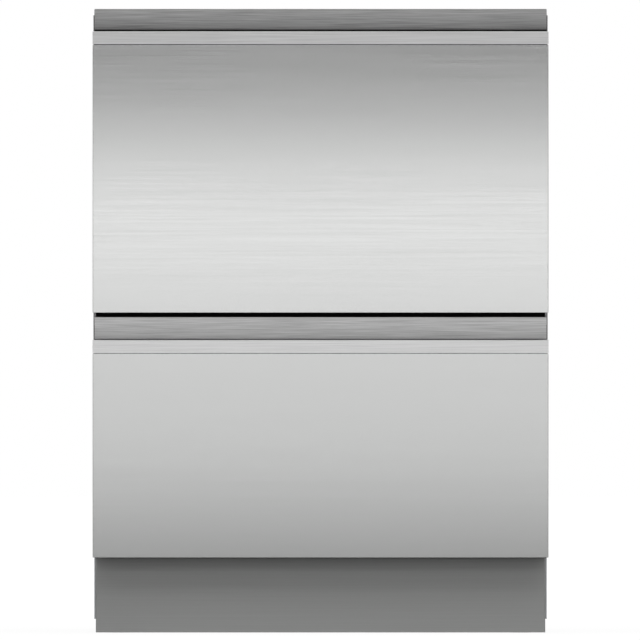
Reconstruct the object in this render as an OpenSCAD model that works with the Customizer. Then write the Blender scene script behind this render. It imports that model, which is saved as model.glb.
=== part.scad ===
// Two-drawer dishwasher, 60 cm class, with recessed grips above both drawer fronts.
// +Z is up, the fronts face -Y, and the origin is on the floor under the middle of the body.

/* [Overall] */
// Width across the drawer fronts
front_w = 599; // [490:1:720]
// Floor to the top of the upper drawer front, feet screwed right in
body_h = 820; // [790:1:990]
// Face of the drawer fronts to the back
body_d = 573; // [476:1:690]
// How far the chassis stands in from each end of the fronts
side_inset = 2; // [1:0.5:5]

/* [Drawer fronts] */
// Height of the lower front's bottom edge above the floor
kick_h = 100; // [82:1:120]
// Lower front, from its bottom edge to the top of the recess strip
lower_front_h = 315; // [300:1:378]
// Dark gap between the two fronts
front_gap = 6; // [4:0.5:12]
// Depth of a drawer front, from its face to its back
front_t = 50; // [46:1:62]
// Recess strip that shows above the grip lip
strip_h = 30; // [24:1:38]
// Height of the grip lip's face
lip_h = 17.5; // [14:0.5:22]
// Seam between the grip lip and the door skin
seam = 0.8; // [0.4:0.1:1.5]
// How far the recess strip stands behind the face
grip_depth = 26; // [20:1:28]
// How far the grip trough reaches below the top of the lip
trough_drop = 34; // [28:1:42]
// Thickness of the grip channel's sheet
channel_t = 2; // [1.5:0.1:2.5]
// Outside radius of the trough's bottom corners
trough_r = 6; // [4:0.5:8]
// Thickness of the grip lip's wall
lip_t = 2.5; // [2:0.1:3]
// How far the lip's inner leg hooks down behind the channel
lip_hook = 12; // [8:0.5:13]
// Flange along the top of the recess strip
strip_flange = 8; // [5:1:10]
// Wall that closes each end of the grip trough
cheek_t = 2.4; // [2:0.1:3]
// Stainless sheet of the door skin
skin_t = 1; // [0.8:0.1:1.2]
// How far the door skin folds back at the sides and bottom
skin_return = 18; // [12:1:22]
// Outside radius of the door skin's side folds
skin_r = 2; // [1.5:0.1:3]
// Wall of the moulded frame inside a drawer front
frame_wall = 3; // [2.5:0.1:4]
// Widest cell between the frame's ribs
cell_max = 72; // [50:1:80]

/* [Controls] */
// Height of the control panel moulding
control_h = 10; // [8:0.5:14]
// Radius of a push button
button_r = 4.5; // [3.5:0.1:4.8]
// Collar that keeps a button in the panel
button_collar = 0.7; // [0.4:0.1:1]

/* [Chassis] */
// Galvanised sheet of the chassis
sheet_t = 1; // [0.8:0.1:1.5]
// Gap between a drawer front's back and the chassis
seal_gap = 1; // [0.6:0.1:2]
// Rubber on the chassis's front edges
seal_t = 1.2; // [1:0.1:1.3]
// Reach of that rubber along the side panel
seal_w = 9; // [7:0.5:12]
// Underside of the base pan above the floor
base_z = 18; // [14:1:24]
// Wall of the base pan
pan_t = 3; // [2:0.5:4]
// Depth of the service recess at the back of the base
service_d = 46; // [40:1:60]
// How far the toe kick stands in front of the chassis
kick_forward = 6; // [4:1:12]
// Sheet of the toe kick
kick_t = 1.2; // [1:0.1:2]
// Sheet of the shelf between the drawers
shelf_t = 1.2; // [1:0.1:2]
// Height of the shelf's front rail
shelf_rail = 17; // [12:1:20]
// Thickness of the fixing brackets
bracket_t = 1.2; // [1:0.1:2]
// Distance between the two top fixing holes
bracket_pitch = 400; // [300:10:440]
// Radius of a fixing hole
fixing_r = 2.6; // [2:0.1:3]
// Radius of the chassis screws
screw_r = 2; // [1.5:0.1:2.5]
// Height of a screw's head
screw_head = 2.2; // [1.8:0.1:3]

/* [Feet] */
// Radius of a levelling foot's pad
foot_r = 20; // [15:1:25]
// Height of a levelling foot's pad
foot_h = 9; // [7:1:12]
// Radius of a foot's stem
stem_r = 6; // [5:0.5:8]
// Length of a foot's stem above the pad
stem_len = 74; // [66:1:76]
// Wall of the bosses that the stems run in
boss_wall = 7; // [4:0.5:9]
// Distance of a foot's axis from the side and the ends of the base
foot_side = 34; // [28:1:60]

/* [Tub] */
// Rim of a tub below the top of its drawer front
rim_drop = 37; // [34:1:44]
// Flat rim round the tub's mouth
rim_w = 13; // [11:0.5:16]
// Wall of the tub
tub_wall = 4; // [3:0.5:5]
// Rim to the inside of the chassis, on each side
rim_clear = 11.5; // [11:0.5:16]
// Space behind the tub for hoses
rear_space = 68; // [50:1:90]
// Radius of the tub's upright corners
tub_r = 34; // [20:1:50]
// Lowest point of the drawer above the bottom of its front
sweep_gap = 4; // [2:0.5:8]
// Radius of the sump
sump_r = 78; // [60:1:90]
// Depth of the sump below the tub's floor
sump_h = 18; // [14:1:24]

/* [Lid] */
// Space above the tub's rim for the lid and its lift
lid_space = 31; // [30:0.5:34]
// Lift of the lid
lid_lift = 10; // [6:1:10]
// Underside of the lid above the rim
lid_gap = 3; // [2:0.5:4]
// Depth of the lid's edge
lid_t = 13; // [11:0.5:14]
// Wall of the lid
lid_wall = 3; // [2:0.5:4]
// Width of the lid's seal
lid_seal_w = 8; // [6:0.5:9]
// How deep the seal sits in the lid
seal_seat = 5; // [4:0.5:7]
// Radius of the lid's pins
pin_r = 3; // [2.5:0.1:3.2]
// Thickness of the lid's lifting bars
bar_t = 3; // [2:0.5:3]
// Thickness of the ribs that guide the lid's pins
guide_t = 3; // [2:0.5:4]

/* [Drawer rails] */
// Middle of the rails below the tub's rim
rail_drop = 150; // [110:1:170]
// Height of the fixed rail
rail_h = 44; // [36:1:50]
// Sheet of the rails
rail_t = 1.5; // [1.2:0.1:1.8]
// Length of the rails
rail_len = 440; // [340:1:445]
// Gap above and below each rail in the one that holds it
rail_gap = 0.5; // [0.3:0.1:1]

/* [Wash system] */
// Height of the wash motor under the sump
motor_h = 24; // [20:1:30]
// Radius of the wash motor
motor_r = 70; // [50:1:74]
// Radius of the drive shaft
shaft_r = 5; // [4:0.5:6]
// How far the filter plate laps over the sump's edge
filter_lap = 18; // [10:1:24]
// Tip of the spray arm to the tub's nearest wall
arm_gap = 14.5; // [10:0.5:30]
// Width of the spray arm
arm_w = 38; // [28:1:50]
// Thickness of the spray arm
arm_t = 12; // [10:1:16]
// Jets on each half of the spray arm
jet_n = 4; // [3:1:6]

/* [Dispenser] */
// Width of the detergent dispenser
disp_w = 132; // [120:1:150]
// Height of the detergent dispenser
disp_h = 84; // [76:1:96]
// Depth of the detergent dispenser
disp_d = 20; // [16:1:24]
// Width of the detergent cup
cup_w = 54; // [40:1:56]
// Height of the detergent cup
cup_h = 56; // [40:1:60]

/* [Racks] */
// Gap between a rack and the tub's walls
rack_gap = 10; // [8:1:14]
// Underside of the rack's floor above the tub's floor
rack_rise = 34; // [32:1:40]
// Thickness of the racks' bars
wire = 4; // [3:0.5:5]
// Spacing of the racks' bars
rack_pitch = 38; // [30:1:46]
// Height of the base rack's sides
rack_side_h = 74; // [50:1:80]
// Height of the plate tines
tine_h = 58; // [40:1:70]
// Reach of the folding cup rack from its hinge
cup_reach = 98; // [70:1:100]
// Hinge of the cup rack below the tub's rim
cup_drop = 112; // [108:1:120]
// Radius of the cup rack's hinge rod
cup_rod_r = 3; // [2.5:0.1:3.5]
// Width of the cutlery basket
basket_w = 66; // [50:1:76]
// Length of the cutlery basket
basket_l = 212; // [150:1:240]
// Height of the cutlery basket
basket_h = 116; // [90:1:130]
// Cells along the cutlery basket
basket_cells = 3; // [2:1:5]
// Wall of the cutlery basket
basket_t = 2; // [1.5:0.1:3]

/* [Service connections] */
// Radius of the water inlet's threaded spigot
inlet_r = 13.2; // [10:0.1:15]
// Length of the water inlet's threaded spigot
inlet_len = 16; // [12:1:24]
// Radius of the drain spigot
drain_r = 9.5; // [8:0.1:12]
// Length of the drain spigot
drain_len = 32; // [24:1:36]
// Radius of the cord gland
gland_r = 9; // [7:0.5:11]

/* [Hidden] */
$fn = 48;
STEEL = [0.74, 0.75, 0.75];
STRIP = [0.62, 0.62, 0.62];
KICK = [0.52, 0.53, 0.52];
GALV = [0.70, 0.72, 0.74];
BLACK = [0.05, 0.05, 0.05];
GREY = [0.60, 0.62, 0.64];
PALE = [0.86, 0.87, 0.88];
RUBBER = [0.10, 0.10, 0.11];

LOWER = 0;
UPPER = 1;
BOTH = [LOWER, UPPER];
SIDES = [-1, 1];

fit = 0.3;                                   // clearance of pieces that clip or slide together
run = 0.08;                                  // radial clearance of a turning or sliding shaft
eps = 0.5;                                   // how far a cutter runs past a face

face_y = -body_d / 2;
back_y = body_d / 2;
chassis_y = face_y + front_t + seal_gap;     // front edge of the chassis
sheet_y = chassis_y + seal_t + fit;          // front edge of its sheet metal, behind the rubber
chassis_w = front_w - 2 * side_inset;
in_x = chassis_w / 2 - sheet_t;              // inside face of a side panel
strip_w = chassis_w - 1;
panel_y = back_y - screw_head;               // outside of the back panel
top_z = body_h - bracket_t;                  // outside of the chassis's top

function front_top(i) = i == UPPER ? body_h : kick_h + lower_front_h;
function front_bottom(i) = i == UPPER ? front_top(LOWER) + front_gap : kick_h;
function lip_top(i) = front_top(i) - strip_h;
function seam_z(i) = lip_top(i) - lip_h;
function rim_z(i) = front_top(i) - rim_drop;

// Drawer front: depths behind the face
hook_u = lip_t + fit;                                // the channel's front wall hangs in the lip
lip_depth = hook_u + channel_t + fit + lip_t;
web_u = grip_depth + channel_t;                      // back of the recess strip
trough_w = strip_w - 2 * (cheek_t + fit);
frame_x = front_w / 2 - skin_t - 1;                  // half width inside the door skin
frame_back_x = chassis_w / 2;
frame_cols = ceil((2 * frame_back_x - frame_wall) / (cell_max + frame_wall));
cell_w = (2 * frame_back_x - frame_wall) / frame_cols - frame_wall;
button_x = frame_back_x - 2 * frame_wall - 1.5 * cell_w;
button_u = (web_u + strip_flange + fit + front_t - frame_wall) / 2;

// Tub, the same depth in both drawers
tub_total = lower_front_h - rim_drop - sweep_gap;    // rim to the underside of the motor
rim_x = in_x - rim_clear;
tub_x = rim_x - rim_w;
rim_y0 = face_y + front_t;
rim_y1 = back_y - rear_space;
tub_y0 = rim_y0 + rim_w;
tub_y1 = rim_y1 - rim_w;
tub_cy = (tub_y0 + tub_y1) / 2;
well_x = tub_x - tub_wall;                           // half width inside
well_hy = (tub_y1 - tub_y0) / 2 - tub_wall;          // half length inside
function motor_z(i) = rim_z(i) - tub_total;
function sump_z(i) = motor_z(i) + motor_h;
function floor_z(i) = sump_z(i) + sump_h + tub_wall; // inside floor

// Lid
lid_x = rim_x - 2;
lid_y0 = rim_y0 + 1;
lid_y1 = rim_y1 - 3;
lid_cy = (lid_y0 + lid_y1) / 2;
pin_ys = [for (s = SIDES) lid_cy + s * 0.31 * (lid_y1 - lid_y0)];
bar_x = rim_x + 0.4;
guide_x = bar_x + bar_t + fit;
bar_travel = 2 * lid_lift;
bar_h = lid_lift + 4 * pin_r + 2;
seal_mid = rim_w / 2;                                // middle of the seal from the rim's edge
function pin_z(i) = rim_z(i) + lid_gap + 7;
shelf_z = rim_z(LOWER) + lid_space;                  // underside of the shelf between the drawers

// Rails, from the side panel inwards
function rail_z(i) = rim_z(i) - rail_drop;
rail_lip = 4;                                        // reach of a rail's flanges past its web
rail_y0 = chassis_y + 3;
rail_y1 = min(rail_y0 + rail_len, rim_y1);
fixed_in = in_x - rail_t - rail_lip;
mid_out = in_x - rail_t - fit;
mid_h = rail_h - 2 * (rail_t + rail_gap);
mid_in = mid_out - rail_t - rail_lip - 1.2;
tongue_out = mid_out - rail_t - fit;
tongue_h = mid_h - 2 * (rail_t + rail_gap);
pad_x = tongue_out - rail_t - 5;                     // outer face of the tub's rail pads

// Racks
rack_x = well_x - rack_gap;
rack_y0 = tub_cy - well_hy + disp_d + rack_gap;
rack_y1 = tub_cy + well_hy - rack_gap;
rack_cy = (rack_y0 + rack_y1) / 2;
rack_l = rack_y1 - rack_y0;
bars_x = floor((rack_x - wire / 2) / rack_pitch);    // bars on each side of the middle one
bars_y = floor((rack_l / 2 - wire / 2) / rack_pitch);
function rack_z(i) = floor_z(i) + rack_rise;         // underside of the rack's floor
function rack_top(i) = rack_z(i) + rack_side_h;
cup_hinge_x = -(rack_x - 7);
cup_l = rack_l - 60;
post_w = 12;
post_t = 6;
post_ys = [for (s = SIDES) rack_cy + s * (cup_l / 2 + post_t / 2 + 1)];
function cup_z(i) = rim_z(i) - cup_drop;
basket_x1 = rack_x - wire - 2;
basket_cy = rack_cy - 30;

// Dispenser, on the tub's front wall
disp_y0 = tub_cy - well_hy;
disp_y1 = disp_y0 + disp_d;
function disp_z(i) = rim_z(i) - 26 - disp_h;
cup_cx = -disp_w / 2 + cup_w / 2 + 6;

// Base, feet and service connections
base_y1 = back_y - service_d;                        // back wall of the base pan
pan_top = kick_h - 2;
foot_x = chassis_w / 2 - foot_side;
foot_y0 = chassis_y + foot_side;
foot_y1 = base_y1 - foot_side;
boss_top = foot_h + stem_len - 8;
service_z = base_z + 0.45 * (kick_h - base_z);
inlet_x = 150;
drain_x = -150;
gland_x = -210;
kick_x = chassis_w / 2 - 2;
kick_top = kick_h - 1.5;

// Fixings
screw_x = in_x - 7;
screw_zs = [for (k = [0:3]) kick_h + 20 + k * (body_h - kick_h - 60) / 3];
bracket_y = chassis_y + 22;
side_hole_y = chassis_y + 16;
side_hole_zs = [for (i = BOTH) rail_z(i) + rail_h / 2 + 40];

// ---------------------------------------------------------------- shared shapes

// A box given by its lowest and highest corners.
module block(lo, hi) {
    translate(lo) cube(hi - lo);
}

// The right half's piece, and its mirror image on the left.
module both_sides() {
    children();
    mirror([1, 0, 0]) children();
}

// A flat rectangle with round corners, from corner a to corner b.
module round_rect(a, b, r) {
    if (r <= 0) {
        translate(a) square(b - a);
    } else {
        translate([a.x + r, a.y]) square([b.x - a.x - 2 * r, b.y - a.y]);
        translate([a.x, a.y + r]) square([b.x - a.x, b.y - a.y - 2 * r]);
        for (x = [a.x + r, b.x - r], y = [a.y + r, b.y - r]) translate([x, y]) circle(r);
    }
}

// An upright plate of that outline, between two heights.
module slab(a, b, r, z0, z1) {
    translate([0, 0, z0]) linear_extrude(z1 - z0) round_rect(a, b, r);
}

// A profile drawn as (distance behind the face, height), run along the width of the body.
module along_width(w) {
    translate([-w / 2, face_y, 0]) rotate([90, 0, 90]) linear_extrude(w) children();
}

// A profile drawn as (x, z), run along the depth of the body.
module along_depth(y0, y1) {
    translate([0, y1, 0]) rotate([90, 0, 0]) linear_extrude(y1 - y0) children();
}

// An upright cylinder between two heights.
module upright(x, y, z0, z1, r) {
    translate([x, y, z0]) cylinder(h = z1 - z0, r = r);
}

// A cylinder along the depth, between two depths.
module along_y(x, z, y0, y1, r) {
    translate([x, y0, z]) rotate([-90, 0, 0]) cylinder(h = y1 - y0, r = r);
}

// A flat bar with round ends, lying along X, centred.
module round_bar(length, width) {
    square([length - width, width], center = true);
    for (s = SIDES) translate([s * (length - width) / 2, 0]) circle(width / 2);
}

// ---------------------------------------------------------------- chassis

// Two upright ribs beside each of the lid's pins, which rises between them.
module lid_guides(i) {
    near = pin_r + fit;
    for (y = pin_ys, gap = [near, -near - guide_t])
        block([guide_x, y + gap, rim_z(i) - 2],
              [in_x + sheet_t / 2, y + gap + guide_t, pin_z(i) + lid_lift + 4]);
}

// Folded side sheet: a flange at the back takes the screws, and the guides are pressed on.
module side_panel() {
    flange = 14;
    difference() {
        union() {
            block([in_x, sheet_y, base_z], [in_x + sheet_t, panel_y - sheet_t, top_z]);
            block([in_x - flange, panel_y - 2 * sheet_t, pan_top],
                  [in_x + sheet_t / 2, panel_y - sheet_t, top_z - flange]);
            for (i = BOTH) lid_guides(i);
        }
        for (z = side_hole_zs) translate([in_x - eps, side_hole_y, z]) rotate([0, 90, 0])
            cylinder(h = sheet_t + 2 * eps, r = fixing_r);
        screw_holes();
    }
}

module left_side_panel() {
    color(GALV) mirror([1, 0, 0]) side_panel();
}

module right_side_panel() {
    color(GALV) side_panel();
}

// Holes for the screws along one side of the back panel.
module screw_holes() {
    for (z = screw_zs) along_y(screw_x, z, panel_y - 3 * sheet_t, panel_y + eps, screw_r + run);
}

module back_panel() {
    vent_n = 9;
    vent = [160, 4];                                 // one louvre's width and height
    color(GALV) difference() {
        block([-in_x - sheet_t, panel_y - sheet_t, pan_top], [in_x + sheet_t, panel_y, top_z]);
        both_sides() screw_holes();
        for (k = [0:vent_n - 1])
            translate([-vent.x / 2, panel_y - sheet_t - eps, kick_h + 60 + 2.5 * k * vent.y])
                cube([vent.x, sheet_t + 2 * eps, vent.y]);
    }
}

module top_panel() {
    flange = 6;
    color(GALV) difference() {
        union() {
            block([-in_x, sheet_y, top_z - sheet_t], [in_x, panel_y - sheet_t, top_z]);
            both_sides()
                block([in_x - sheet_t, sheet_y, top_z - flange], [in_x, panel_y - 3 * sheet_t, top_z]);
            block([-in_x, sheet_y, top_z - flange], [in_x, sheet_y + sheet_t, top_z]);
        }
        for (s = SIDES)
            upright(s * bracket_pitch / 2, bracket_y, top_z - 2 * sheet_t, top_z + eps, 2 * fixing_r);
    }
}

// Tabs on the top, by which the body is screwed to the underside of a worktop.
module fixing_brackets() {
    half = [22, 17];
    color(GALV) for (s = SIDES) difference() {
        translate([s * bracket_pitch / 2, bracket_y, top_z])
            linear_extrude(bracket_t) round_rect(-half, half, 4);
        upright(s * bracket_pitch / 2, bracket_y, top_z - eps, body_h + eps, fixing_r);
    }
}

// Moulded base: a tray with a boss over each foot, and the drain spigot in its back wall.
module base_pan() {
    rib = [4, 14];                                   // width and height of a stiffening rib
    wall_y = base_y1 - pan_t / 2;
    color(GREY) difference() {
        union() {
            difference() {
                block([-in_x, chassis_y, base_z], [in_x, base_y1, pan_top]);
                block([-in_x + pan_t, chassis_y + pan_t, base_z + pan_t],
                      [in_x - pan_t, base_y1 - pan_t, kick_h]);
            }
            for (s = SIDES, y = [foot_y0, foot_y1])
                upright(s * foot_x, y, base_z, boss_top, stem_r + boss_wall);
            for (x = [-90, 0, 90])
                block([x - rib.x / 2, chassis_y + pan_t / 2, base_z + pan_t / 2],
                      [x + rib.x / 2, wall_y, base_z + rib.y]);
            along_y(drain_x, service_z, wall_y - 12, wall_y, drain_r + 3);
            along_y(drain_x, service_z, wall_y, base_y1 + drain_len, drain_r);
        }
        for (s = SIDES, y = [foot_y0, foot_y1])
            upright(s * foot_x, y, base_z - eps, boss_top + eps, stem_r + run);
        along_y(drain_x, service_z, wall_y - 13, base_y1 + drain_len + eps, drain_r - 2);
        along_y(inlet_x, service_z, base_y1 - pan_t - eps, base_y1 + eps, inlet_r + fit);
        along_y(gland_x, service_z, base_y1 - pan_t - eps, base_y1 + eps, gland_r + fit);
    }
}

// Shelf between the drawers, with the dark rail that shows through the gap between the fronts.
module centre_shelf() {
    color(BLACK) {
        block([-in_x, sheet_y, shelf_z], [in_x, panel_y - 2 * sheet_t, shelf_z + shelf_t]);
        block([-in_x, sheet_y, shelf_z], [in_x, sheet_y + shelf_t, shelf_z + shelf_rail]);
    }
}

module toe_kick() {
    y0 = chassis_y - kick_forward;
    color(KICK) difference() {
        block([-kick_x, y0, 1], [kick_x, chassis_y, kick_top]);
        block([-kick_x + kick_t, y0 + kick_t, 1 - eps],
              [kick_x - kick_t, chassis_y + eps, kick_top - kick_t]);
    }
}

// Rubber channels pushed over the side panels' front edges, notched for the rails and the shelf.
module edge_seals() {
    z0 = kick_h + 2;
    inner = in_x - seal_t;
    end_y = chassis_y + seal_w;
    color(RUBBER) both_sides() difference() {
        block([inner, chassis_y, z0], [in_x + sheet_t + seal_t, end_y, top_z - 7]);
        block([in_x, sheet_y, z0 - eps], [in_x + sheet_t, end_y + eps, top_z]);
        for (i = BOTH)
            block([inner - eps, rail_y0 - fit, rail_z(i) - rail_h / 2 - fit],
                  [in_x, end_y + eps, rail_z(i) + rail_h / 2 + fit]);
        block([inner - eps, sheet_y, shelf_z - fit], [in_x, end_y + eps, shelf_z + shelf_rail + fit]);
    }
}

// Section of a C-shaped rail, open towards the drawer, from x0 to x1 and of height h about z.
module rail_section(x0, x1, z, h) {
    difference() {
        translate([x0, z - h / 2]) square([x1 - x0, h]);
        translate([x0 - eps, z - h / 2 + rail_t]) square([x1 - x0 - rail_t + eps, h - 2 * rail_t]);
    }
}

module fixed_rails() {
    color(GALV) for (i = BOTH)
        both_sides() along_depth(rail_y0, rail_y1) rail_section(fixed_in, in_x, rail_z(i), rail_h);
}

// Water inlet: threaded spigot through the base's back wall, with its two solenoids behind it.
module inlet_valve() {
    wall_y = base_y1 - pan_t;
    body = [26, 38, 24];                             // half width, depth and half height
    color(PALE) difference() {
        union() {
            along_y(inlet_x, service_z, wall_y - 12, base_y1 + inlet_len, inlet_r);
            along_y(inlet_x, service_z, base_y1, base_y1 + 3, inlet_r + 5);
            block([inlet_x - body.x, wall_y - 6 - body.y, service_z - body.z],
                  [inlet_x + body.x, wall_y - 6, service_z + body.z]);
            for (s = SIDES)
                upright(inlet_x + s * body.x / 2, wall_y - 6 - body.y / 2,
                        base_z + pan_t, service_z + 34, 10);
        }
        along_y(inlet_x, service_z, wall_y - 4, base_y1 + inlet_len + eps, inlet_r - 4);
    }
}

// Grommet that the supply cord comes out of, clamped on both sides of the base's back wall.
module cord_gland() {
    wall_y = base_y1 - pan_t;
    color(BLACK) difference() {
        union() {
            along_y(gland_x, service_z, wall_y - 8, base_y1 + 12, gland_r);
            along_y(gland_x, service_z, base_y1, base_y1 + 4, gland_r + 4);
            along_y(gland_x, service_z, wall_y - 8, wall_y, gland_r + 3);
        }
        along_y(gland_x, service_z, wall_y - 8 - eps, base_y1 + 12 + eps, 0.45 * gland_r);
    }
}

// Electronics housing on the shelf, below the upper tub, with a recess for its plugs in front.
module controller_box() {
    half_w = 95;
    depth = 130;
    height = 52;
    z0 = shelf_z + shelf_t;
    y1 = rim_y1 - 30;
    color(PALE) difference() {
        union() {
            block([-half_w, y1 - depth, z0], [half_w, y1, z0 + height]);
            block([-half_w - 12, y1 - depth + 20, z0], [half_w + 12, y1 - 20, z0 + 3]);
        }
        block([-half_w + 12, y1 - depth - eps, z0 + 12], [half_w - 12, y1 - depth + 16, z0 + 36]);
    }
}

module chassis_screws() {
    color(GALV) both_sides() for (z = screw_zs) {
        along_y(screw_x, z, panel_y - 5, panel_y + screw_head / 2, screw_r);
        along_y(screw_x, z, panel_y, panel_y + screw_head, 2 * screw_r);
    }
}

// Levelling foot: its stem screws up and down in the base's boss.
module foot(sx, y) {
    color(BLACK) {
        upright(sx * foot_x, y, 0, foot_h, foot_r);
        upright(sx * foot_x, y, foot_h / 2, foot_h + stem_len, stem_r);
    }
}

// ---------------------------------------------------------------- drawer front

// Door skin: a folded stainless tray, open at the back.
module front_panel(i) {
    z0 = front_bottom(i);
    z1 = seam_z(i) - seam;
    half = front_w / 2;
    back = face_y + skin_return;
    color(STEEL) {
        difference() {
            slab([-half, face_y], [half, back + skin_r], skin_r, z0, z1);
            slab([-half + skin_t, face_y + skin_t], [half - skin_t, back + 3 * skin_r], skin_r - skin_t,
                 z0 - eps, z1 + eps);
            block([-half - eps, back, z0 - eps], [half + eps, back + 3 * skin_r, z1 + eps]);
        }
        block([-half + skin_t / 2, face_y + skin_t / 2, z0], [half - skin_t / 2, back, z0 + skin_t]);
        block([-half + skin_t / 2, face_y + skin_t / 2, z1 - skin_t],
              [half - skin_t / 2, face_y + lip_t, z1]);
    }
}

// Grip lip: a hooked strip that caps the front wall of the grip channel.
module grip_lip(i) {
    z1 = lip_top(i);
    color(STRIP) along_width(front_w) difference() {
        round_rect([0, z1 - lip_h], [lip_depth, z1], 1.2);
        translate([lip_t, z1 - lip_h - eps]) square([lip_depth, lip_h - lip_hook + eps]);
        translate([lip_t, z1 - lip_h - eps]) square([lip_depth - 2 * lip_t, lip_h - lip_t + eps]);
    }
}

// Grip channel: the trough for the fingers and the strip that shows above the lip.
module grip_channel(i) {
    z0 = lip_top(i) - trough_drop;
    z1 = front_top(i);
    above = 2 * trough_r;                            // the outline runs past the top before it is cut
    color(STRIP) difference() {
        along_width(strip_w) difference() {
            union() {
                round_rect([hook_u, z0], [web_u, z1 + above], trough_r);
                translate([grip_depth, z1 - channel_t]) square([strip_flange, channel_t]);
            }
            round_rect([hook_u + channel_t, z0 + channel_t], [grip_depth, z1 + above], trough_r - channel_t);
            translate([0, z1]) square([web_u + eps, above + eps]);
            translate([0, lip_top(i) - lip_t]) square([grip_depth - trough_r, strip_h + above]);
        }
        both_sides()
            block([trough_w / 2, face_y, z0 - eps], [strip_w / 2 + eps, face_y + grip_depth, z1 + eps]);
    }
}

// Moulded frame that carries the skin, the channel, the control panel and the tub.
module front_frame(i) {
    z0 = front_bottom(i) + skin_t + fit;
    z1 = lip_top(i) - trough_drop - fit;
    z2 = front_top(i) - control_h;
    y0 = face_y + skin_t + fit;
    y1 = face_y + web_u + fit;
    y2 = face_y + front_t;
    cheek_y = face_y + grip_depth - fit;
    rows = ceil((z1 - z0 - frame_wall) / (cell_max + frame_wall));
    cell_h = (z1 - z0 - frame_wall) / rows - frame_wall;
    color(BLACK) difference() {
        union() {
            block([-frame_x, y0, z0], [frame_x, face_y + skin_return - 1, z1]);
            block([-frame_back_x, y0, z0], [frame_back_x, y2, z1]);
            block([-frame_back_x, y1, z1 - 1], [frame_back_x, y2, z2]);
            // the cheeks at the trough's ends pass behind the lip's hook
            both_sides() {
                block([strip_w / 2 - cheek_t, face_y + hook_u, z1 - 1],
                      [frame_x, cheek_y, lip_top(i) - lip_hook - fit]);
                block([strip_w / 2 - cheek_t, face_y + lip_depth + fit, z1 - 1],
                      [frame_x, cheek_y, lip_top(i)]);
            }
        }
        for (k = [0:frame_cols - 1], x = -frame_back_x + frame_wall + k * (cell_w + frame_wall)) {
            for (j = [0:rows - 1], z = z0 + frame_wall + j * (cell_h + frame_wall))
                block([x, y0 - eps, z], [x + cell_w, y2 - frame_wall, z + cell_h]);
            block([x, y1 + frame_wall, z1 + frame_wall], [x + cell_w, y2 - frame_wall, z2 + eps]);
        }
    }
}

// Control panel: the moulding along the top of the drawer front, seen once the drawer is open.
module control_panel(i) {
    z1 = front_top(i);
    flange_end = grip_depth + strip_flange;
    color(BLACK) difference() {
        along_width(strip_w) {
            translate([web_u + fit, z1 - control_h])
                square([front_t - web_u - fit, control_h - channel_t - fit]);
            translate([flange_end + fit, z1 - control_h])
                square([front_t - flange_end - fit, control_h - fit]);
        }
        for (s = SIDES)
            upright(s * button_x, face_y + button_u, z1 - control_h - eps, z1 + eps, button_r + run);
        // shallow window over the display
        block([-120, face_y + flange_end + 3.5, z1 - 1.2], [120, face_y + front_t - 3, z1 + eps]);
    }
}

// Push button, held up against the panel by the collar round its foot.
module button(i, s) {
    z1 = front_top(i);
    foot_z = z1 - control_h - fit;
    collar = 1.5;
    color(PALE) {
        upright(s * button_x, face_y + button_u, foot_z - collar / 2, z1 - fit, button_r);
        upright(s * button_x, face_y + button_u, foot_z - collar, foot_z, button_r + button_collar);
    }
}

// ---------------------------------------------------------------- tub and wash system

// Moulded tub: flat rim, sump in its floor, and pads that carry it on the rails.
module tub(i) {
    rz = rim_z(i);
    fz = floor_z(i);
    pad = [22, 13];                                  // half length and half height of a rail pad
    color(GREY) difference() {
        union() {
            slab([-rim_x, rim_y0], [rim_x, rim_y1], tub_r + rim_w, rz - tub_wall, rz);
            slab([-tub_x, tub_y0], [tub_x, tub_y1], tub_r, fz - tub_wall, rz);
            upright(0, tub_cy, sump_z(i), fz - tub_wall / 2, sump_r);
            both_sides() for (k = [-1:1], y = tub_cy + 0.62 * k * well_hy)
                block([tub_x - tub_wall / 2, y - pad.x, rail_z(i) - pad.y],
                      [pad_x, y + pad.x, rail_z(i) + pad.y]);
        }
        slab([-well_x, tub_y0 + tub_wall], [well_x, tub_y1 - tub_wall], tub_r - tub_wall, fz, rz + eps);
        upright(0, tub_cy, sump_z(i) + tub_wall, fz + eps, sump_r - tub_wall);
        upright(0, tub_cy, sump_z(i) - eps, sump_z(i) + tub_wall + eps, shaft_r + run);
    }
}

shoulder = 6;                                        // spray arm's seat above the tub's floor
shoulder_r = shaft_r + 4;

// Motor housing under the sump, with the drive shaft that stands up through it.
module wash_motor(i) {
    z0 = motor_z(i);
    fz = floor_z(i);
    outlet = [16, motor_r + 26];                     // half width and reach of the outlet block
    color(BLACK) difference() {
        union() {
            upright(0, tub_cy, z0, sump_z(i), motor_r);
            upright(0, tub_cy, z0 + 2, fz + shoulder + arm_t + 6, shaft_r);
            upright(0, tub_cy, sump_z(i) + tub_wall + fit, fz + shoulder, shoulder_r);
            block([-outlet.x, tub_cy, z0 + 3], [outlet.x, tub_cy + outlet.y, z0 + motor_h - 4]);
        }
        along_y(0, z0 + motor_h / 2, tub_cy + motor_r + 8, tub_cy + outlet.y + eps, 6);
    }
}

// Slotted filter plate over the sump.
module filter_plate(i) {
    fz = floor_z(i);
    plate_t = 2.5;
    hub_r = 26;
    slot_n = 16;
    slot_w = 5;
    slot_r0 = hub_r + 5;
    slot_r1 = sump_r - 6;
    color(GREY) difference() {
        union() {
            upright(0, tub_cy, fz, fz + plate_t, sump_r + filter_lap);
            upright(0, tub_cy, fz, fz + plate_t + 1.5, hub_r);
        }
        upright(0, tub_cy, fz - eps, fz + 2 * plate_t, shoulder_r + 2);
        for (k = [0:slot_n - 1])
            translate([0, tub_cy, fz - eps]) rotate(k * 360 / slot_n) translate([slot_r0, -slot_w / 2, 0])
                cube([slot_r1 - slot_r0, slot_w, plate_t + 2 * eps]);
    }
}

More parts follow.
